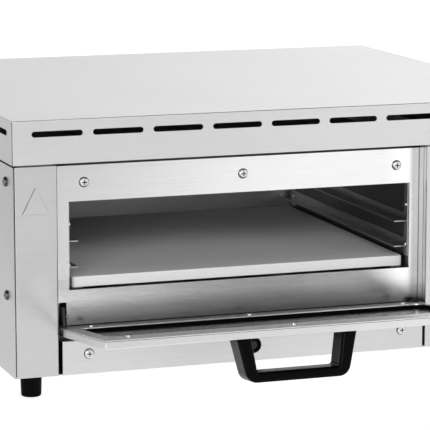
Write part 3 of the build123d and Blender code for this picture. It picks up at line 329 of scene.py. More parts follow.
@dataclass(frozen=True)
class FiredClay:
    """The baking deck: pale fired clay with speckles, and painted shade that darkens its top from the front edge
    inwards.
    """

    name: str = "fired clay"
    pale: tuple[float, float, float] = (0.93, 0.93, 0.93)
    deep: tuple[float, float, float] = (0.82, 0.82, 0.81)
    front: float = -0.2265
    shade_full_at: float = -0.190
    speckle: float = 0.35

    def make(self) -> bpy.types.Material:
        """Builds the material."""
        bench = Bench(self.name)
        broad = bench.noise(bench.place, 9.0, 4.0, 0.55)
        speck = bench.noise(bench.place, 900.0, 2.0, 0.7).smooth(0.60, 0.72)
        # Painted light and shade: the deck is palest at its front face and edge and darkens over its top towards
        # the back, down to 0.25 of the pale share 36 mm in; the broad noise mottles it.
        lit_front = bench.axis("y").smooth(self.front, self.shade_full_at, 1.0, 0.25)
        shade_and_mottle = lit_front * (0.75 + 0.5 * (broad - 0.5))
        base = bench.mix(shade_and_mottle, self.deep + (1.0,), self.pale + (1.0,))
        colour = bench.mix(speck * self.speckle, base, rgb(0.25, 0.1))
        grit = bench.noise(bench.place, 1500.0, 3.0, 0.7)
        normal = bench.bump(grit, 0.35, 0.0003)
        return bench.finish({"Base Color": colour, "Roughness": 0.8 + 0.1 * (broad - 0.5), "Normal": normal})


@dataclass(frozen=True)
class LampLens:
    """A clear moulded lens of one colour."""

    name: str
    colour: tuple[float, float, float]

    def make(self) -> bpy.types.Material:
        """Builds the material."""
        bench = Bench(self.name)
        ribs = bench.noise(bench.place, 700.0, 1.0, 0.5)
        colour = bench.mix(ribs, tuple(c * 0.7 for c in self.colour) + (1.0,), self.colour + (1.0,))
        return bench.finish({"Base Color": colour, "Roughness": 0.12, "Coat Weight": 0.6})


# Painted light and shade: slow changes of tone over each large sheet, in metres of the oven's own axes, standing in
# for how light falls on it.
# Painted shade: the lid's left side face at 0.52 of the tone of its top and front.
LID_PAINTED_SHADE: tuple[Fade, ...] = (("x", -0.2842, -0.2828, 0.52, 1.0),)
# Painted shade: the side panels darken upwards, from full tone below z = 0.05 to 0.68 above z = 0.25.
SIDE_PAINTED_SHADE: tuple[Fade, ...] = (("z", 0.05, 0.25, 1.0, 0.68),)
# Painted shade: the casing 10% darker left of x = -0.2405 (the left pillar), and 14% darker on every face behind
# its front face.
CASING_PAINTED_SHADE: tuple[Fade, ...] = (("x", -0.2405, -0.2385, 0.90, 1.0), ("y", -0.2592, -0.2585, 1.0, 0.86))
# Painted light and shade on the front frame: its tone runs from 0.80 at the left to 1.08 at x = -0.02, a painted
# highlight lifts it by a further 1.18 right of x = 0.128, and painted shade takes its foot down to 0.16 below z =
# 0.068.
FRAME_PAINTED_LIGHT_AND_SHADE: tuple[Fade, ...] = (
    ("x", -0.24, -0.02, 0.80, 1.08),
    ("x", 0.100, 0.128, 1.0, 1.18),
    ("z", 0.068, 0.096, 0.16, 1.0),
)
# Painted light and shade on the door's reflector: 1.45 towards the door's free edge (y below -0.37), 0.70 towards
# the hinge (y above -0.30).
REFLECTOR_PAINTED_LIGHT_AND_SHADE: tuple[Fade, ...] = (("y", -0.37, -0.30, 1.45, 0.70),)


class Finishes:
    """Every finish of the oven, made once."""

    def __init__(self) -> None:
        """Builds the materials."""
        recipes = [
            BrushedSteel("lid steel", level=0.63, cloud=0.03, bump=0.03, fades=LID_PAINTED_SHADE),
            BrushedSteel("casing steel", level=0.60, line=0.14, cloud=0.05, fades=CASING_PAINTED_SHADE),
            # Painted shade: the side steel's lower level (0.50 against 0.60 on the casing) darkens the side panels;
            # its grain along y is the sheet's own.
            BrushedSteel("side steel", grain=Grain.ALONG_Y, level=0.50, rough=0.34, fades=SIDE_PAINTED_SHADE),
            BrushedSteel(
                "frame steel", level=0.78, rough=0.24, line=0.20, cloud=0.05, bump=0.04, fades=FRAME_PAINTED_LIGHT_AND_SHADE,
            ),
            BrushedSteel("door steel", level=0.70, rough=0.28, bump=0.04),
            BrushedSteel(
                "chamber steel", grain=Grain.ALONG_Y, level=0.40, rough=0.38, line=0.06, cloud=0.10,
                pitch=1500.0, bump=0.04,
            ),
            # Painted shade: a much darker copy of the chamber steel (0.10 against 0.40) for the right chamber wall
            # and the stone ledges.
            BrushedSteel(
                "shaded chamber steel", grain=Grain.ALONG_Y, level=0.10, rough=0.34, line=0.04, cloud=0.06,
                pitch=1500.0, bump=0.04,
            ),
            BrushedSteel(
                "rail steel", grain=Grain.ALONG_Y, level=0.42, line=0.06, cloud=0.06, pitch=1500.0, bump=0.04,
            ),
            PlainMetal("screw steel", level=0.68, rough=0.26, patch=0.04, patch_size=300.0),
            # Painted shade: a much darker copy of the screw steel (0.13 against 0.68), for the casing screws.
            PlainMetal("shaded screw steel", level=0.13, rough=0.24, patch=0.04, patch_size=300.0),
            PlainMetal("mill sheet", level=0.58, rough=0.38, patch_size=30.0),
            BrushedSteel(
                "reflector sheet", level=0.44, rough=0.20, line=0.05, pitch=900.0, bump=0.02,
                fades=REFLECTOR_PAINTED_LIGHT_AND_SHADE,
            ),
            PlainMetal("spring wire", level=0.35, rough=0.30, patch=0.05, patch_size=80.0),
            PlainMetal("heater sheath", level=0.14, warm=0.06, rough=0.45, patch=0.05, patch_size=60.0),
            PlainMetal("copper tube", level=0.50, warm=0.35, rough=0.28, patch_size=60.0),
            # Painted shade that fills the screws' cross recesses.
            MattSolid(
                "painted recess shade", colour=(0.010, 0.010, 0.010), rough=0.7, grain_size=900.0, grain_depth=0.05,
                mottle=0.2, gloss=0.1,
            ),
            MattSolid(
                "seam shadow", colour=(0.03, 0.03, 0.03), rough=0.7, grain_size=900.0, grain_depth=0.05,
                mottle=0.2, gloss=0.1,
            ),
            MattSolid("seat shadow", rough=0.6, grain_size=900.0, grain_depth=0.05, mottle=0.2, gloss=0.2),
            MattSolid(
                "pressed shadow", colour=(0.10, 0.10, 0.10), rough=0.6, grain_size=900.0, grain_depth=0.05,
                mottle=0.2, gloss=0.2,
            ),
            MattSolid(
                "pressed half shadow", colour=(0.36, 0.36, 0.36), rough=0.6, grain_size=900.0, grain_depth=0.05,
                mottle=0.1, gloss=0.2,
            ),
            MattSolid(
                "printed ink", colour=(0.02, 0.02, 0.022), grain_size=900.0, grain_depth=0.05, mottle=0.2,
                gloss=0.3,
            ),
            MattSolid(
                "pointer white", colour=(0.80, 0.80, 0.78), grain_size=900.0, grain_depth=0.05, mottle=0.05,
                gloss=0.3,
            ),
            MattSolid(
                "black hinge steel", colour=(0.012, 0.012, 0.012), rough=0.42, grain_size=900.0,
                grain_depth=0.08,
            ),
            MattSolid(
                "black rubber", colour=(0.003, 0.003, 0.003), rough=0.45, grain_size=1500.0, grain_depth=0.08,
                mottle=0.2, gloss=0.06, index=1.25,
            ),
            MattSolid(
                "black phenolic", colour=(0.0012, 0.0012, 0.0012), rough=0.20, grain_size=2500.0,
                grain_depth=0.02, mottle=0.2, index=1.14,
            ),
            MattSolid(
                "control plastic", colour=(0.05, 0.05, 0.055), rough=0.45, grain_size=2000.0, grain_depth=0.05,
            ),
            MattSolid("white ceramic", colour=(0.80, 0.77, 0.70), grain_size=1200.0, grain_depth=0.08, mottle=0.06),
            MattSolid(
                "fibre seal", colour=(0.003, 0.003, 0.003), rough=0.9, grain_size=1200.0, grain_depth=0.6,
                mottle=0.2, gloss=0.02,
            ),
            MattSolid(
                "fibre board", colour=(0.75, 0.73, 0.66), rough=0.9, grain_size=700.0, grain_depth=0.4,
                mottle=0.08,
            ),
            # Painted shade: the wool far darker than its own colour, so that the gap under the lid's rim reads
            # dark.
            MattSolid(
                "shaded mineral wool", colour=(0.16, 0.15, 0.12), rough=0.95, grain_size=350.0, grain_depth=0.8,
                mottle=0.15,
            ),
            MattSolid(
                "wire sleeve", colour=(0.66, 0.63, 0.55), rough=0.8, grain_size=900.0, grain_depth=0.4,
                mottle=0.1,
            ),
            FiredClay(),
            LampLens("green lens", colour=(0.05, 0.50, 0.12)),
            LampLens("amber lens", colour=(0.85, 0.32, 0.03)),
        ]
        self.by_name = {recipe.name: recipe.make() for recipe in recipes}

    def dress(self, node: str, name: str) -> None:
        """Puts one finish on a CAD node.

        Args:
            node: The CAD node.
            name: The finish.
        """
        slots = bpy.data.objects[node].data.materials
        slots.clear()
        slots.append(self.by_name[name])


# The finish of each CAD node.
NODE_FINISH: dict[str, list[str]] = {
    "lid steel": ["top_cover"],
    "casing steel": ["left_pillar", "control_panel", "bottom_skirt", "rear_panel"],
    "side steel": ["left_side_panel", "right_side_panel"],
    "frame steel": ["front_frame"],
    "door steel": ["door_outer_skin", "door_inner_frame"],
    "chamber steel": [
        "chamber_left_wall",
        "chamber_back_wall",
        "chamber_ceiling",
        "chamber_floor",
        "heater_supports",
    ],
    # painted shade on the right chamber wall and the stone ledges
    "shaded chamber steel": ["chamber_right_wall", "stone_ledges"],
    "rail steel": ["left_tray_rack", "right_tray_rack"],
    "screw steel": [
        "front_screws",
        "foot_screws",
        "rack_screws",
        "door_screws",
        "handle_screws",
        "hinge_pins",
        "thermostat_spindle",
        "timer_spindle",
        "selector_spindle",
    ],
    # painted shade on the casing screws
    "shaded screw steel": ["casing_screws"],
    "mill sheet": ["base_pan", "heat_shield", "spring_anchor"],
    "reflector sheet": ["door_reflector"],
    "spring wire": ["door_spring"],
    "heater sheath": ["upper_heater", "lower_heater"],
    "copper tube": ["thermostat_capillary"],
    "black hinge steel": ["hinge_arm_left", "hinge_arm_right", "buffer_screw"],
    "black rubber": ["feet", "skirt_buffer"],
    "black phenolic": ["door_handle", "thermostat_knob", "timer_knob", "selector_knob", "cable_gland"],
    "control plastic": ["thermostat_body", "timer_body", "selector_body", "pilot_lamp_bodies"],
    "white ceramic": ["heater_bushes", "terminal_block"],
    "fibre seal": ["door_seal"],
    "fibre board": ["door_insulation"],
    # painted shade in the gap under the lid's rim
    "shaded mineral wool": ["insulation_blankets"],
    "wire sleeve": ["wiring_loom"],
    "fired clay": ["baking_stone"],
    "green lens": ["power_lamp_lens"],
    "amber lens": ["heating_lamp_lens"],
}


class Shape:
    """Closed surfaces as arrays of corners, four-sided faces and flat caps."""

    def __init__(self, points: np.ndarray, quads: np.ndarray, caps: Sequence[np.ndarray] = ()) -> None:
        """Keeps the arrays.

        Args:
            points: The corners, one row each, in metres.
            quads: The four corners of each face.
            caps: The corners of each flat cap.
        """
        self.points = points
        self.quads = quads
        self.caps = list(caps)

    @classmethod
    def grid(cls, points: np.ndarray, around: bool, along: bool) -> "Shape":
        """A surface from a grid of points.

        Args:
            points: The grid, with rows along and columns around.
            around: Whether the last column joins the first.
            along: Whether the last row joins the first.

        Returns:
            The surface.
        """
        rows, columns = points.shape[:2]
        i, j = np.meshgrid(np.arange(rows if along else rows - 1), np.arange(columns if around else columns - 1))
        i, j = i.ravel(), j.ravel()
        up, over = (i + 1) % rows, (j + 1) % columns
        quads = np.stack([i * columns + j, i * columns + over, up * columns + over, up * columns + j], axis=1)
        return cls(points.reshape(-1, 3), quads)

    @classmethod
    def turned(cls, profile: Sequence[Sequence[float]], closed: bool = False, steps: int = 48) -> "Shape":
        """A turned solid about z.

        Args:
            profile: Radius and height of each point, from one end of the axis to the other.
            closed: Whether the last point joins the first, for a ring.
            steps: How many sides it has.

        Returns:
            The solid.
        """
        line = np.asarray(profile, float)
        turn = np.linspace(0, 2 * np.pi, steps, endpoint=False)
        across = line[:, 0, None]
        tall = np.repeat(line[:, 1, None], steps, axis=1)
        return cls.grid(np.stack([across * np.cos(turn), across * np.sin(turn), tall], axis=-1), True, closed)

    @classmethod
    def prism(cls, outline: np.ndarray, low: float, high: float) -> "Shape":
        """A flat plate with any outline.

        Args:
            outline: The x and y of each corner.
            low: The height of its back.
            high: The height of its face.

        Returns:
            The plate.
        """
        count = len(outline)
        levels = np.array([low, high])[:, None, None] * np.ones((2, count, 1))
        wall = cls.grid(np.concatenate([np.stack([outline, outline]), levels], axis=-1), True, False)
        wall.caps = [np.arange(count)[::-1], np.arange(count, 2 * count)]
        return wall

    @classmethod
    def wire(
        cls, path: np.ndarray, radius: float, beside: Sequence[float] = (0.0, 1.0, 0.0), steps: int = 8
    ) -> "Shape":
        """A round wire along a path: each point gets a ring square to the path.

        Args:
            path: The points of its middle line.
            radius: The wire's radius.
            beside: A direction that the path never takes.
            steps: How many sides it has.

        Returns:
            The wire, with flat ends.
        """
        way = np.gradient(path, axis=0)
        way /= np.linalg.norm(way, axis=1, keepdims=True)
        across = np.cross(way, beside)
        across /= np.linalg.norm(across, axis=1, keepdims=True)
        up = np.cross(way, across)
        turn = np.linspace(0, 2 * np.pi, steps, endpoint=False)[None, :, None]
        rings = path[:, None] + radius * (across[:, None] * np.cos(turn) + up[:, None] * np.sin(turn))
        wire = cls.grid(rings, True, False)
        wire.caps = [np.arange(steps)[::-1], np.arange(steps) + (len(path) - 1) * steps]
        return wire

    def copies(self, turns: np.ndarray, places: np.ndarray) -> "Shape":
        """The same shape at many places.

        Args:
            turns: One 3 by 3 rotation for each copy.
            places: One origin for each copy.

        Returns:
            All the copies together.
        """
        count, size = len(places), len(self.points)
        points = np.einsum("kij,nj->kni", turns, self.points) + places[:, None]
        step = (np.arange(count) * size)[:, None, None]
        caps = [cap + size * k for k in range(count) for cap in self.caps]
        return Shape(points.reshape(-1, 3), (self.quads[None] + step).reshape(-1, 4), caps)

    def joined(self, *others: "Shape") -> "Shape":
        """This shape and others together."""
        every = [self, *others]
        starts = np.cumsum([0] + [len(shape.points) for shape in every])
        quads = np.concatenate([shape.quads + start for shape, start in zip(every, starts)])
        caps = [cap + start for shape, start in zip(every, starts) for cap in shape.caps]
        return Shape(np.concatenate([shape.points for shape in every]), quads, caps)

    def build(self, name: str, material: bpy.types.Material, body: str, slot: str, smooth: float = 35.0) -> Any:
        """Makes the object and ties it to its body.

        Args:
            name: The piece's name.
            material: Its finish.
            body: The body that it rides on.
            slot: The name of a material slot; not used.
            smooth: The angle in degrees above which an edge stays sharp.

        Returns:
            The object.
        """
        mesh = bpy.data.meshes.new(name)
        faces = self.quads.tolist() + [cap.tolist() for cap in self.caps]
        mesh.from_pydata(self.points.tolist(), [], faces)
        work = bmesh.new()
        work.from_mesh(mesh)
        bmesh.ops.remove_doubles(work, verts=work.verts, dist=1e-6)
        bmesh.ops.recalc_face_normals(work, faces=work.faces)
        work.to_mesh(mesh)
        work.free()
        mesh.materials.append(material)
        mesh.shade_smooth()
        mesh.set_sharp_from_angle(angle=math.radians(smooth))
        piece = bpy.data.objects.new(name, mesh)
        bpy.context.scene.collection.objects.link(piece)
        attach(piece, body)
        LOG.info("%s: %d faces on %s", name, len(mesh.polygons), body)
        return piece


def turned_to(ways: np.ndarray) -> np.ndarray:
    """Rotations that take z to each of the given directions.

    Args:
        ways: One unit direction in each row.

    Returns:
        One 3 by 3 rotation for each direction.
    """
    helper = np.where(np.abs(ways[:, 2:3]) > 0.9, [[1.0, 0.0, 0.0]], [[0.0, 0.0, 1.0]])
    x = np.cross(helper, ways)
    x /= np.linalg.norm(x, axis=1, keepdims=True)
    return np.stack([x, np.cross(ways, x), ways], axis=-1)


def swung(degrees: float) -> np.ndarray:
    """A rotation about x: y and z turn as cosine and sine of the angle.

    Args:
        degrees: The angle.

    Returns:
        The 3 by 3 rotation.
    """
    angle = math.radians(degrees)
    cosine, sine = math.cos(angle), math.sin(angle)
    return np.array([[1, 0, 0], [0, cosine, -sine], [0, sine, cosine]])


def solids(node: str, turn: np.ndarray) -> list[np.ndarray]:
    """The separate solids of a CAD node.

    Args:
        node: The CAD node.
        turn: A rotation that is taken off the points first.

    Returns:
        The points of each solid.
    """
    mesh = bpy.data.objects[node].data
    points = np.empty(len(mesh.vertices) * 3)
    mesh.vertices.foreach_get("co", points)
    edges = np.empty(len(mesh.edges) * 2, int)
    mesh.edges.foreach_get("vertices", edges)
    points = points.reshape(-1, 3) @ turn
    merged, where = np.unique(np.round(points, 6), axis=0, return_inverse=True)
    ends = where.ravel()[edges].reshape(-1, 2)
    label = np.arange(len(merged))
    while True:
        low = label[ends].min(axis=1)
        fresh = label.copy()
        np.minimum.at(fresh, ends[:, 0], low)
        np.minimum.at(fresh, ends[:, 1], low)
        fresh = fresh[fresh]
        if np.array_equal(fresh, label):
            break
        label = fresh
    return [merged[label == mark] for mark in np.unique(label)]


@dataclass
class ScrewHeads:
    """Painted shade in the cross recess of each head and painted shadow rings round the heads, for one CAD node's
    pan-head screws.
    """

    node: str
    body: str = "casing"
    head_radius: float = 4.5
    head_height: float = 2.6
    swing: float = 0.0
    recess_length: float = 1.1
    recess_width: float = 0.22
    sunk: float = 0.12
    ring_reach: float = 0.6
    ring_height: float = 0.16

    def spots(self) -> tuple[np.ndarray, np.ndarray]:
        """The top of each head and the way that it faces."""
        turn = swung(self.swing)
        tops, ways = [], []
        for points in solids(self.node, turn):
            low, high = points.min(axis=0), points.max(axis=0)
            size, middle = high - low, (low + high) / 2
            axis = int(np.argmax(np.abs(size - np.median(size))))
            side = np.delete(points - middle, axis, axis=1)
            rim = np.linalg.norm(side, axis=1) > 0.9 * np.linalg.norm(side, axis=1).max()
            sign = 1.0 if points[rim, axis].mean() > middle[axis] else -1.0
            top, way = middle.copy(), np.zeros(3)
            top[axis] = high[axis] if sign > 0 else low[axis]
            way[axis] = sign
            tops.append(turn @ top)
            ways.append(turn @ way)
        return np.array(tops), np.array(ways)

    def build(self, finishes: "Finishes") -> None:
        """Builds both pieces.

        Args:
            finishes: The finishes.
        """
        tops, ways = self.spots()
        turns = turned_to(ways)
        r, tall = self.head_radius * MM, self.head_height * MM
        arm, wing = r * self.recess_length / 2 - HAIR, r * self.recess_width / 2 - HAIR
        corner = np.array([[arm, -wing], [arm, wing], [wing, wing]])
        quarter = np.array([[0.0, 1.0], [-1.0, 0.0]])
        outline = np.concatenate([corner @ np.linalg.matrix_power(quarter, k) for k in range(4)])
        # Painted shade: a dark cross plate fills each recess just below the head's top.
        cross = Shape.prism(outline, -tall / 2 + HAIR, -self.sunk * MM)
        dark = finishes.by_name["painted recess shade"]
        cross.copies(turns, tops).build(f"{self.node}_recess_shades", dark, self.body, "black_steel")
        inner, outer = r - 0.2 * MM, r + self.ring_reach * MM
        low, high = -tall + HAIR, -tall + self.ring_height * MM
        ring = [(inner, high), (r + 0.05 * MM, high), (outer, low), (inner, low)]
        shade = Shape.turned(ring, closed=True, steps=32).copies(turns, tops)
        shade.build(f"{self.node}_rings", finishes.by_name["seat shadow"], self.body, "black_steel")


@dataclass
class PressedTriangle:
    """Painted shade along the pressed lines of the plain triangle on the left front corner."""

    middle: float = -261.6
    front: float = -260.0
    apex: float = 207.2
    base: float = 179.5
    half: float = 14.6
    depth: float = 0.16
    line: float = 0.62
    inset: float = 1.0
    drop: float = 0.55

    def stroke(self, start: Sequence[float], end: Sequence[float], width: float) -> Shape:
        """One straight line of painted shade along a pressed edge, thinner at its ends.

        Args:
            start: The x and z of its start, in millimetres.
            end: The x and z of its end.
            width: Its width.

        Returns:
            The line as a thin plate in the panel's face.
        """
        a, b = np.array(start, float), np.array(end, float)
        way = (b - a) / np.linalg.norm(b - a)
        over = np.array([-way[1], way[0]])
        share = np.linspace(0, 1, 24)
        half = width / 2 * np.clip(np.minimum(share, 1 - share) * 12, 0.25, 1.0)
        spine = a + share[:, None] * (b - a)
        outline = np.concatenate([spine + over * half[:, None], (spine - over * half[:, None])[::-1]])
        plate = Shape.prism(outline * MM, -self.depth * MM, -0.02 * MM)
        turn = np.array([[1.0, 0.0, 0.0], [0.0, 0.0, -1.0], [0.0, 1.0, 0.0]])
        return plate.copies(turn[None], np.array([[0.0, self.front * MM, 0.0]]))

    def build(self, finishes: "Finishes") -> None:
        """Builds the painted shade lines: dark on the left, a paler half shade on the right and along the foot.

        Args:
            finishes: The finishes.
        """
        reach = self.half - self.inset
        left, right = self.middle - reach, self.middle + reach
        foot, top = self.base + self.drop, self.apex - 1.1
        # Painted shade: a dark line on the left side, half shade on the right side and along the foot.
        dark = self.stroke((left, foot), (self.middle, top), self.line)
        dark.build("triangle_left_shade", finishes.by_name["pressed shadow"], "casing", "brushed_steel")
        soft = self.stroke((right - 0.25, foot), (self.middle - 0.1, top - 1.0), self.line * 0.45)
        soft = soft.joined(self.stroke((left + 3, foot + 0.2), (right - 3, foot + 0.2), self.line * 0.4))
        soft.build("triangle_half_shade_lines", finishes.by_name["pressed half shadow"], "casing", "brushed_steel")


@dataclass
class RubberFeet:
    """Four turned rubber feet with rounded tips and a moulded collar."""

    radius: float = 10.8
    tip: float = 9.8
    height: float = 23.0
    inset_x: float = 22.0
    inset_y: float = 24.0
    half_width: float = 284.0
    half_depth: float = 260.0
    bore: float = 5.1
    bore_depth: float = 11.5
    lip: float = 2.0
    web: float = 2.0

    def build(self, finishes: "Finishes") -> None:
        """Builds the feet in place of the CAD ones.

        Args:
            finishes: The finishes.
        """
        turn = np.linspace(0, np.pi / 2, 9)
        tip = np.stack([self.tip - self.lip * (1 - np.sin(turn)), self.lip * (1 - np.cos(turn))], axis=1)
        side = [(self.radius - 0.35, self.height - 2.4), (self.radius, self.height - 1.9)]
        top = [(self.radius, self.height - 0.3), (self.radius - 0.3, self.height), (self.web, self.height)]
        depth = self.bore_depth
        bore = [(self.web, depth), (self.bore, depth), (self.bore, 0.4), (self.bore + 0.4, 0.0)]
        profile = np.concatenate([tip, side, top, bore]) * MM
        x, y = self.half_width - self.inset_x, self.half_depth - self.inset_y
        places = np.array([(a, b, 0.0) for a in (-x, x) for b in (-y, y)]) * MM
        upright = np.repeat(np.eye(3)[None], len(places), axis=0)
        feet = Shape.turned(profile, closed=True, steps=64).copies(upright, places)
        piece = feet.build("turned_feet", finishes.by_name["black rubber"], "casing", "black_rubber")
        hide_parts("feet")


@dataclass
class BalanceSpring:
    """The coil spring that balances the door."""

    middle: float = -229.2
    height: float = 76.995
    pin: float = -245.348
    pin_shut: tuple[float, float] = (-234.0, 64.1)
    coil: tuple[float, float] = (-200.0, -140.0)
    coil_radius: float = 3.0
    turns: int = 20
    wire_radius: float = 0.6
    eye: float = 2.55
    ball: float = 2.2
    tail: float = -106.0
    hold: float = -109.25

    def coils(self) -> Shape:
        """The coil: a circle about y that moves on by one pitch in each turn."""
        turn = np.linspace(0, 2 * np.pi * self.turns, self.turns * 18 + 1)
        along = np.linspace(*self.coil, len(turn))
        side = self.middle + self.coil_radius * np.cos(turn)
        up = self.height - self.coil_radius * np.sin(turn)
        return Shape.wire(np.stack([side, along, up], axis=1) * MM, self.wire_radius * MM)

    def bars(self) -> list[Shape]:
        """The straight wire before and after the coil, and the steps from it out to the coil."""
        x, z = self.middle, self.height
        start, end = self.coil
        thick = self.wire_radius * MM
        shapes = []
        for first, last in ((self.pin + self.eye, start), (end, self.tail)):
            line = np.array([(x, first, z), (x, last, z)]) * MM
            shapes.append(Shape.wire(line, thick, beside=(1, 0, 0)))
        for y in self.coil:
            step = np.array([(x, y, z), (x + self.coil_radius, y, z)]) * MM
            shapes.append(Shape.wire(step, thick))
        return shapes

    def ends(self) -> list[Shape]:
        """The eye round the lever's pin and the ball behind the anchor."""
        turn = np.linspace(0, 2 * np.pi, 12, endpoint=False)
        ring = np.stack([self.eye + self.wire_radius * np.cos(turn), self.wire_radius * np.sin(turn)], axis=1)
        half = np.linspace(-np.pi / 2, np.pi / 2, 9)
        ball = np.stack([np.cos(half), np.sin(half)], axis=1) * self.ball
        lying = np.array([[0, 0, 1], [0, 1, 0], [-1, 0, 0]])[None]
        spots = (np.array([[self.middle, y, self.height]]) * MM for y in (self.pin, self.tail))
        shapes = (Shape.turned(ring * MM, closed=True, steps=24), Shape.turned(ball * MM, steps=16))
        return [shape.copies(lying, spot) for shape, spot in zip(shapes, spots)]

    def build(self, finishes: "Finishes") -> None:
        """Builds the spring in place of the CAD one.

        Args:
            finishes: The finishes.
        """
        wire = finishes.by_name["spring wire"]
        spring = self.coils().joined(*self.bars(), *self.ends())
        piece = spring.build("balance_spring", wire, "casing", "spring_steel")
        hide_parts("door_spring")
        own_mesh(piece)


@dataclass
class ControlFace:
    """Dial marks round the knobs, pointer lines, knob trims and lamp rims."""

    middle: float = 211.75
    front: float = -260.0
    heights: tuple[float, float, float] = (185.5, 127.5, 69.5)
    spans: tuple[float, float, float] = (270.0, 300.0, 270.0)
    marks: tuple[int, int, int] = (10, 13, 4)
    bodies: tuple[str, str, str] = ("thermostat_control", "timer_control", "selector_control")
    inner: float = 21.2
    knob_radius: float = 19.0
    knob_front: float = 7.5
    bar_front: float = 19.5
    lamp_x: float = 259.75
    lamp_heights: tuple[float, float] = (185.5, 157.5)
    mark_lengths: tuple[float, float] = (3.4, 2.2)
    mark_halves: tuple[float, float] = (0.45, 0.3)

    def facing(self, x: float, z: float, out: float) -> tuple[np.ndarray, np.ndarray]:
        """The turn and place of a piece that faces the front.

        Args:
            x: Its x in millimetres.
            z: Its height.
            out: How far it stands off the panel.

        Returns:
            The rotation and the origin, as one copy.
        """
        return turned_to(np.array([[0.0, -1.0, 0.0]])), np.array([[x, self.front - out, z]]) * MM

    def scale(self, index: int) -> Shape:
        """The printed marks round one knob.

        Args:
            index: Which knob, from the top.

        Returns:
            The marks as thin plates.
        """
        count, span = self.marks[index], math.radians(self.spans[index])
        angles = np.pi / 2 - np.linspace(0, span, count)
        every = []
        for k, angle in enumerate(angles):
            long = self.mark_lengths[0 if k % 3 == 0 or count < 6 else 1]
            half = self.mark_halves[0 if k % 3 == 0 else 1]
            way = np.array([math.cos(angle), math.sin(angle)])
            over = np.array([-math.sin(angle), math.cos(angle)])
            near, far = way * self.inner, way * (self.inner + long)
            outline = np.array([near + over * half, near - over * half, far - over * half, far + over * half])
            outline = np.stack([-outline[:, 0], outline[:, 1]], axis=1)
            every.append(Shape.prism(outline * MM, -0.05 * MM, 0.05 * MM))
        return every[0].joined(*every[1:]).copies(*self.facing(self.middle, self.heights[index], 0.0))

    def build(self, finishes: "Finishes") -> None:
        """Builds every piece of the control face.

        Args:
            finishes: The finishes.
        """
        ink, white, bright = (finishes.by_name[name] for name in ("printed ink", "pointer white", "screw steel"))
        scales = self.scale(0).joined(self.scale(1), self.scale(2))
        scales.build("dial_marks", ink, "casing", "control_plastic")
        r = self.knob_radius
        trim = np.array([(r - 2.9, -0.2), (r - 2.9, 0.25), (r - 2.5, 0.4), (r - 2.1, 0.25), (r - 2.1, -0.2)]) * MM
        for height, body in zip(self.heights, self.bodies):
            pointer = np.array([(-0.5, 4.2), (0.5, 4.2), (0.5, 13.6), (-0.5, 13.6)]) * MM
            on_bar, on_knob = (self.facing(self.middle, height, out) for out in (self.bar_front, self.knob_front))
            line = Shape.prism(pointer, -0.6 * MM, -0.1 * MM).copies(*on_bar)
            line.build(f"{body}_pointer", white, body, "black_phenolic")
            ring = Shape.turned(trim, closed=True, steps=96).copies(*on_knob)
            ring.build(f"{body}_trim", bright, body, "bright_screw_steel")
        rim = np.array([(4.75, 1.4), (4.9, 2.0), (5.5, 2.2), (6.1, 2.0), (6.2, 1.4)]) * MM
        for k, height in enumerate(self.lamp_heights):
            edge = Shape.turned(rim, closed=True, steps=64).copies(*self.facing(self.lamp_x, height, 0.0))
            edge.build(f"lamp_rim_{k + 1}", bright, "casing", "control_plastic")


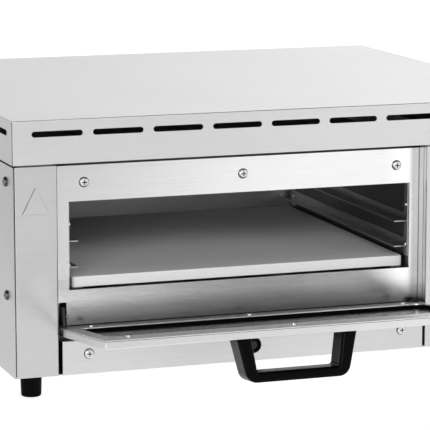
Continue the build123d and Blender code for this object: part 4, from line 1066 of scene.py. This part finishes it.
@dataclass
class SeamShadowLines:
    """Painted shadow lines where folded sheets meet: casing corners, the lid's rim and the door's two skins."""

    half_width: float = 284.0
    half_depth: float = 260.0
    base: float = 23.0
    wall_top: float = 225.7
    lid_low: float = 227.6
    lid_high: float = 268.5
    recess_left: float = -241.0
    recess_right: float = 139.5
    line: float = 0.55
    proud: float = 0.04
    bend: float = 0.9
    wall_lines: tuple[tuple[float, float], ...] = ((-241.2, 0.9), (-252.4, 1.0), (-258.9, 0.8))
    door_left: float = -238.0
    door_right: float = 136.5
    door_low: float = 60.1
    door_high: float = 223.8
    door_seam_shadow: float = 15.0
    hinge: tuple[float, float] = (13.0, 64.1)
    swing: float = 82.7

    def bar(self, low: Sequence[float], high: Sequence[float]) -> Shape:
        """A straight bar between two corners, in millimetres."""
        (x0, y0, z0), (x1, y1, z1) = low, high
        outline = np.array([(x0, y0), (x1, y0), (x1, y1), (x0, y1)])
        return Shape.prism(outline * MM, z0 * MM, z1 * MM)

    def casing(self) -> Shape:
        """The upright painted shadow lines at the lid's corners and beside the recess."""
        w, d, p = self.half_width, self.half_depth, self.proud
        arc = np.radians(np.linspace(188, 240, 12))[:, None]
        round_line = np.concatenate([np.cos(arc), np.sin(arc)], axis=1)
        outline = np.concatenate([round_line * (self.bend + p), round_line[::-1] * (self.bend - 0.2)])
        bars = []
        for side in (1, -1):
            spot = (side * (self.bend - w), self.bend - d)
            corner = (outline * (side, 1) + spot) * MM
            bars.append(Shape.prism(corner, self.lid_low * MM, self.lid_high * MM))
        low, high = self.base + 2, self.wall_top
        left, right = self.recess_left, self.recess_right
        bars.append(self.bar((left - 0.1, -d + 0.6, low), (left + 0.4, -d + 1.1, high)))
        for y, wide in self.wall_lines:
            bars.append(self.bar((right - p, y, low), (right + 0.2, y + wide, high)))
        return bars[0].joined(*bars[1:])

    def door(self) -> Shape:
        """The painted shadow line round the door between its skin and its inner sheet."""
        p, t = self.proud / 2, self.line * 0.7
        y0, y1 = self.door_seam_shadow - t, self.door_seam_shadow
        x0, x1, z0, z1 = self.door_left - p, self.door_right + p, self.door_low, self.door_high + p
        left = self.bar((x0, y0, z0 + 8), (x0 + 0.3, y1, z1))
        right = self.bar((x1 - 0.3, y0, z0 + 8), (x1, y1, z1))
        free = self.bar((x0, y0, z1 - 0.3), (x1, y1, z1))
        ring = left.joined(right, free)
        turn = swung(self.swing)
        pivot = np.array([0.0, self.hinge[0], self.hinge[1]]) * MM
        shift = pivot - turn @ pivot - np.array([0.0, self.half_depth * MM, 0.0])
        return ring.copies(turn[None], shift[None])

    def build(self, finishes: "Finishes") -> None:
        """Builds the painted shadow lines of the casing and the door.

        Args:
            finishes: The finishes.
        """
        shade = finishes.by_name["seam shadow"]
        # Painted shadow in the casing's seams and round the door.
        self.casing().build("casing_seam_shadows", shade, "casing", "black_steel")
        self.door().build("door_seam_shadow", shade, "door", "black_steel")


@dataclass(frozen=True)
class SoftBox:
    """One flat lamp: where it stands, what it faces, its width and height, and its watts."""

    name: str
    place: tuple[float, float, float]
    aim: tuple[float, float, float]
    size: tuple[float, float]
    power: float


@dataclass
class Studio:
    """Floor, soft light and camera."""

    camera_place: tuple[float, float, float] = (-0.8900, -2.5747, 0.5942)
    camera_yaw: float = 19.218
    camera_pitch: float = 9.822
    focal: float = 215.9
    floor_half: float = 30.0
    floor_level: float = 0.80
    sky_front: tuple[float, float] = (0.70, 0.95)
    sky_back: tuple[float, float] = (1.00, 1.40)
    sky_zenith: float = 0.16
    near_glow: float = 0.64
    far_glow: float = 0.90
    front_glow: tuple[float, float] = (0.06, 0.62)
    boxes: tuple[SoftBox, ...] = (
        SoftBox("front left box", (-1.3, -2.1, 0.62), (0.0, 0.0, 0.14), (0.9, 0.7), 17.0),
        SoftBox("front high box", (-0.1, -2.5, 1.22), (0.0, -0.3, 0.10), (1.3, 0.5), 13.0),
        SoftBox("front right box", (1.7, -2.6, 0.9), (0.1, -0.2, 0.15), (0.9, 0.9), 10.0),
    )

    def build(self) -> None:
        """Builds the studio."""
        self.make_floor()
        self.make_sky()
        self.make_lights()
        self.make_camera()

    def make_floor(self) -> None:
        """A wide pale floor with painted light: it glows, 0.64 near the oven and up to 0.90 behind it, and far in
        front 0.06 on the left and 0.62 on the right.
        """
        h = self.floor_half
        mesh = bpy.data.meshes.new("studio_floor")
        mesh.from_pydata([(-h, -h, 0), (h, -h, 0), (h, h, 0), (-h, h, 0)], [], [(0, 1, 2, 3)])
        floor = bpy.data.objects.new("studio_floor", mesh)
        bpy.context.scene.collection.objects.link(floor)
        bench = Bench("studio paper")
        forward = bench.axis("y").smooth(-1.7, -0.8)
        aside = bench.axis("x").smooth(0.0, 1.2, *self.front_glow)
        far = bench.axis("y").smooth(0.4, 1.6, 0.0, self.far_glow - self.near_glow)
        glow = aside + forward * (self.near_glow - aside) + far
        shine = bench.mix(glow, rgb(0.0), rgb(1.0))
        values = {"Base Color": rgb(self.floor_level), "Roughness": 0.9, "Emission Color": shine}
        mesh.materials.append(bench.finish(values | {"Emission Strength": 1.0}))

    def make_sky(self) -> None:
        """Soft white light from all round, bright near the horizon and dim overhead."""
        world = bpy.data.worlds.new("studio sky")
        world.use_nodes = True
        tree = world.node_tree
        place = tree.nodes.new("ShaderNodeTexCoord")
        split = tree.nodes.new("ShaderNodeSeparateXYZ")
        tree.links.new(place.outputs["Generated"], split.inputs[0])
        height, depth, side = split.outputs["Z"], split.outputs["Y"], split.outputs["X"]
        behind = self.eased(tree, depth, (-0.3, 0.3), (0.0, 1.0))
        high_front = self.eased(tree, height, (0.04, 0.34), (0.0, 1.0))
        high_back = self.eased(tree, height, (0.28, 0.80), (0.0, 1.0))
        low_front = self.eased(tree, side, (0.15, 0.50), self.sky_front)
        low_back = self.eased(tree, side, (0.18, 0.48), self.sky_back)
        high = self.blended(tree, behind, high_front, high_back)
        low = self.blended(tree, behind, low_front, low_back)
        blend = self.blended(tree, high, low, self.sky_zenith)
        back = tree.nodes["Background"]
        back.inputs["Color"].default_value = (1.0, 1.0, 1.0, 1.0)
        tree.links.new(blend, back.inputs["Strength"])
        bpy.context.scene.world = world

    def blended(self, tree: Any, share: Any, first: Any, second: Any) -> Any:
        """Blends two strengths of the sky.

        Args:
            tree: The world's nodes.
            share: The output that says how much of the second shows.
            first: The first strength.
            second: The second strength, an output or a number.

        Returns:
            The blended output.
        """
        step = tree.nodes.new("ShaderNodeMix")
        tree.links.new(share, step.inputs[0])
        tree.links.new(first, step.inputs[2])
        if isinstance(second, float):
            step.inputs[3].default_value = second
        else:
            tree.links.new(second, step.inputs[3])
        return step.outputs[0]

    def eased(self, tree: Any, value: Any, source: Sequence[float], target: Sequence[float]) -> Any:
        """Eases a direction's part into a strength.

        Args:
            tree: The world's nodes.
            value: The output to ease.
            source: Where the change starts and ends.
            target: The strengths there.

        Returns:
            The eased output.
        """
        step = tree.nodes.new("ShaderNodeMapRange")
        step.interpolation_type = "SMOOTHSTEP"
        tree.links.new(value, step.inputs["Value"])
        for name, number in zip(("From Min", "From Max", "To Min", "To Max"), (*source, *target)):
            step.inputs[name].default_value = number
        return step.outputs[0]

    def make_lights(self) -> None:
        """Lights the soft boxes in front."""
        for box in self.boxes:
            data = bpy.data.lights.new(box.name, "AREA")
            data.shape = "RECTANGLE"
            data.size, data.size_y = box.size
            data.energy = box.power
            lamp = bpy.data.objects.new(box.name, data)
            lamp.location = box.place
            way = Vector(box.aim) - Vector(box.place)
            lamp.rotation_euler = way.to_track_quat("-Z", "Y").to_euler()
            bpy.context.scene.collection.objects.link(lamp)

    def make_camera(self) -> None:
        """The camera at its fitted place."""
        data = bpy.data.cameras.new("studio camera")
        data.lens = self.focal
        data.sensor_width = 36.0
        data.clip_end = 100.0
        camera = bpy.data.objects.new("studio camera", data)
        camera.location = self.camera_place
        camera.rotation_euler = (math.radians(90 - self.camera_pitch), 0, math.radians(-self.camera_yaw))
        bpy.context.scene.collection.objects.link(camera)
        bpy.context.scene.camera = camera


def main() -> None:
    """Builds every part of the scene in order."""
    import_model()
    finishes = Finishes()
    for finish, nodes in NODE_FINISH.items():
        for node in nodes:
            finishes.dress(node, finish)
    ScrewHeads("front_screws").build(finishes)
    ScrewHeads("casing_screws").build(finishes)
    ScrewHeads("rack_screws", head_radius=3.0, head_height=1.8).build(finishes)
    ScrewHeads("door_screws", "door", 2.7, 1.44, swing=82.7, ring_reach=0.3).build(finishes)
    PressedTriangle().build(finishes)
    RubberFeet().build(finishes)
    BalanceSpring().build(finishes)
    ControlFace().build(finishes)
    SeamShadowLines().build(finishes)
    Studio().build()
    bpy.context.scene.view_settings.view_transform = "Standard"


if __name__ == "__main__":
    main()
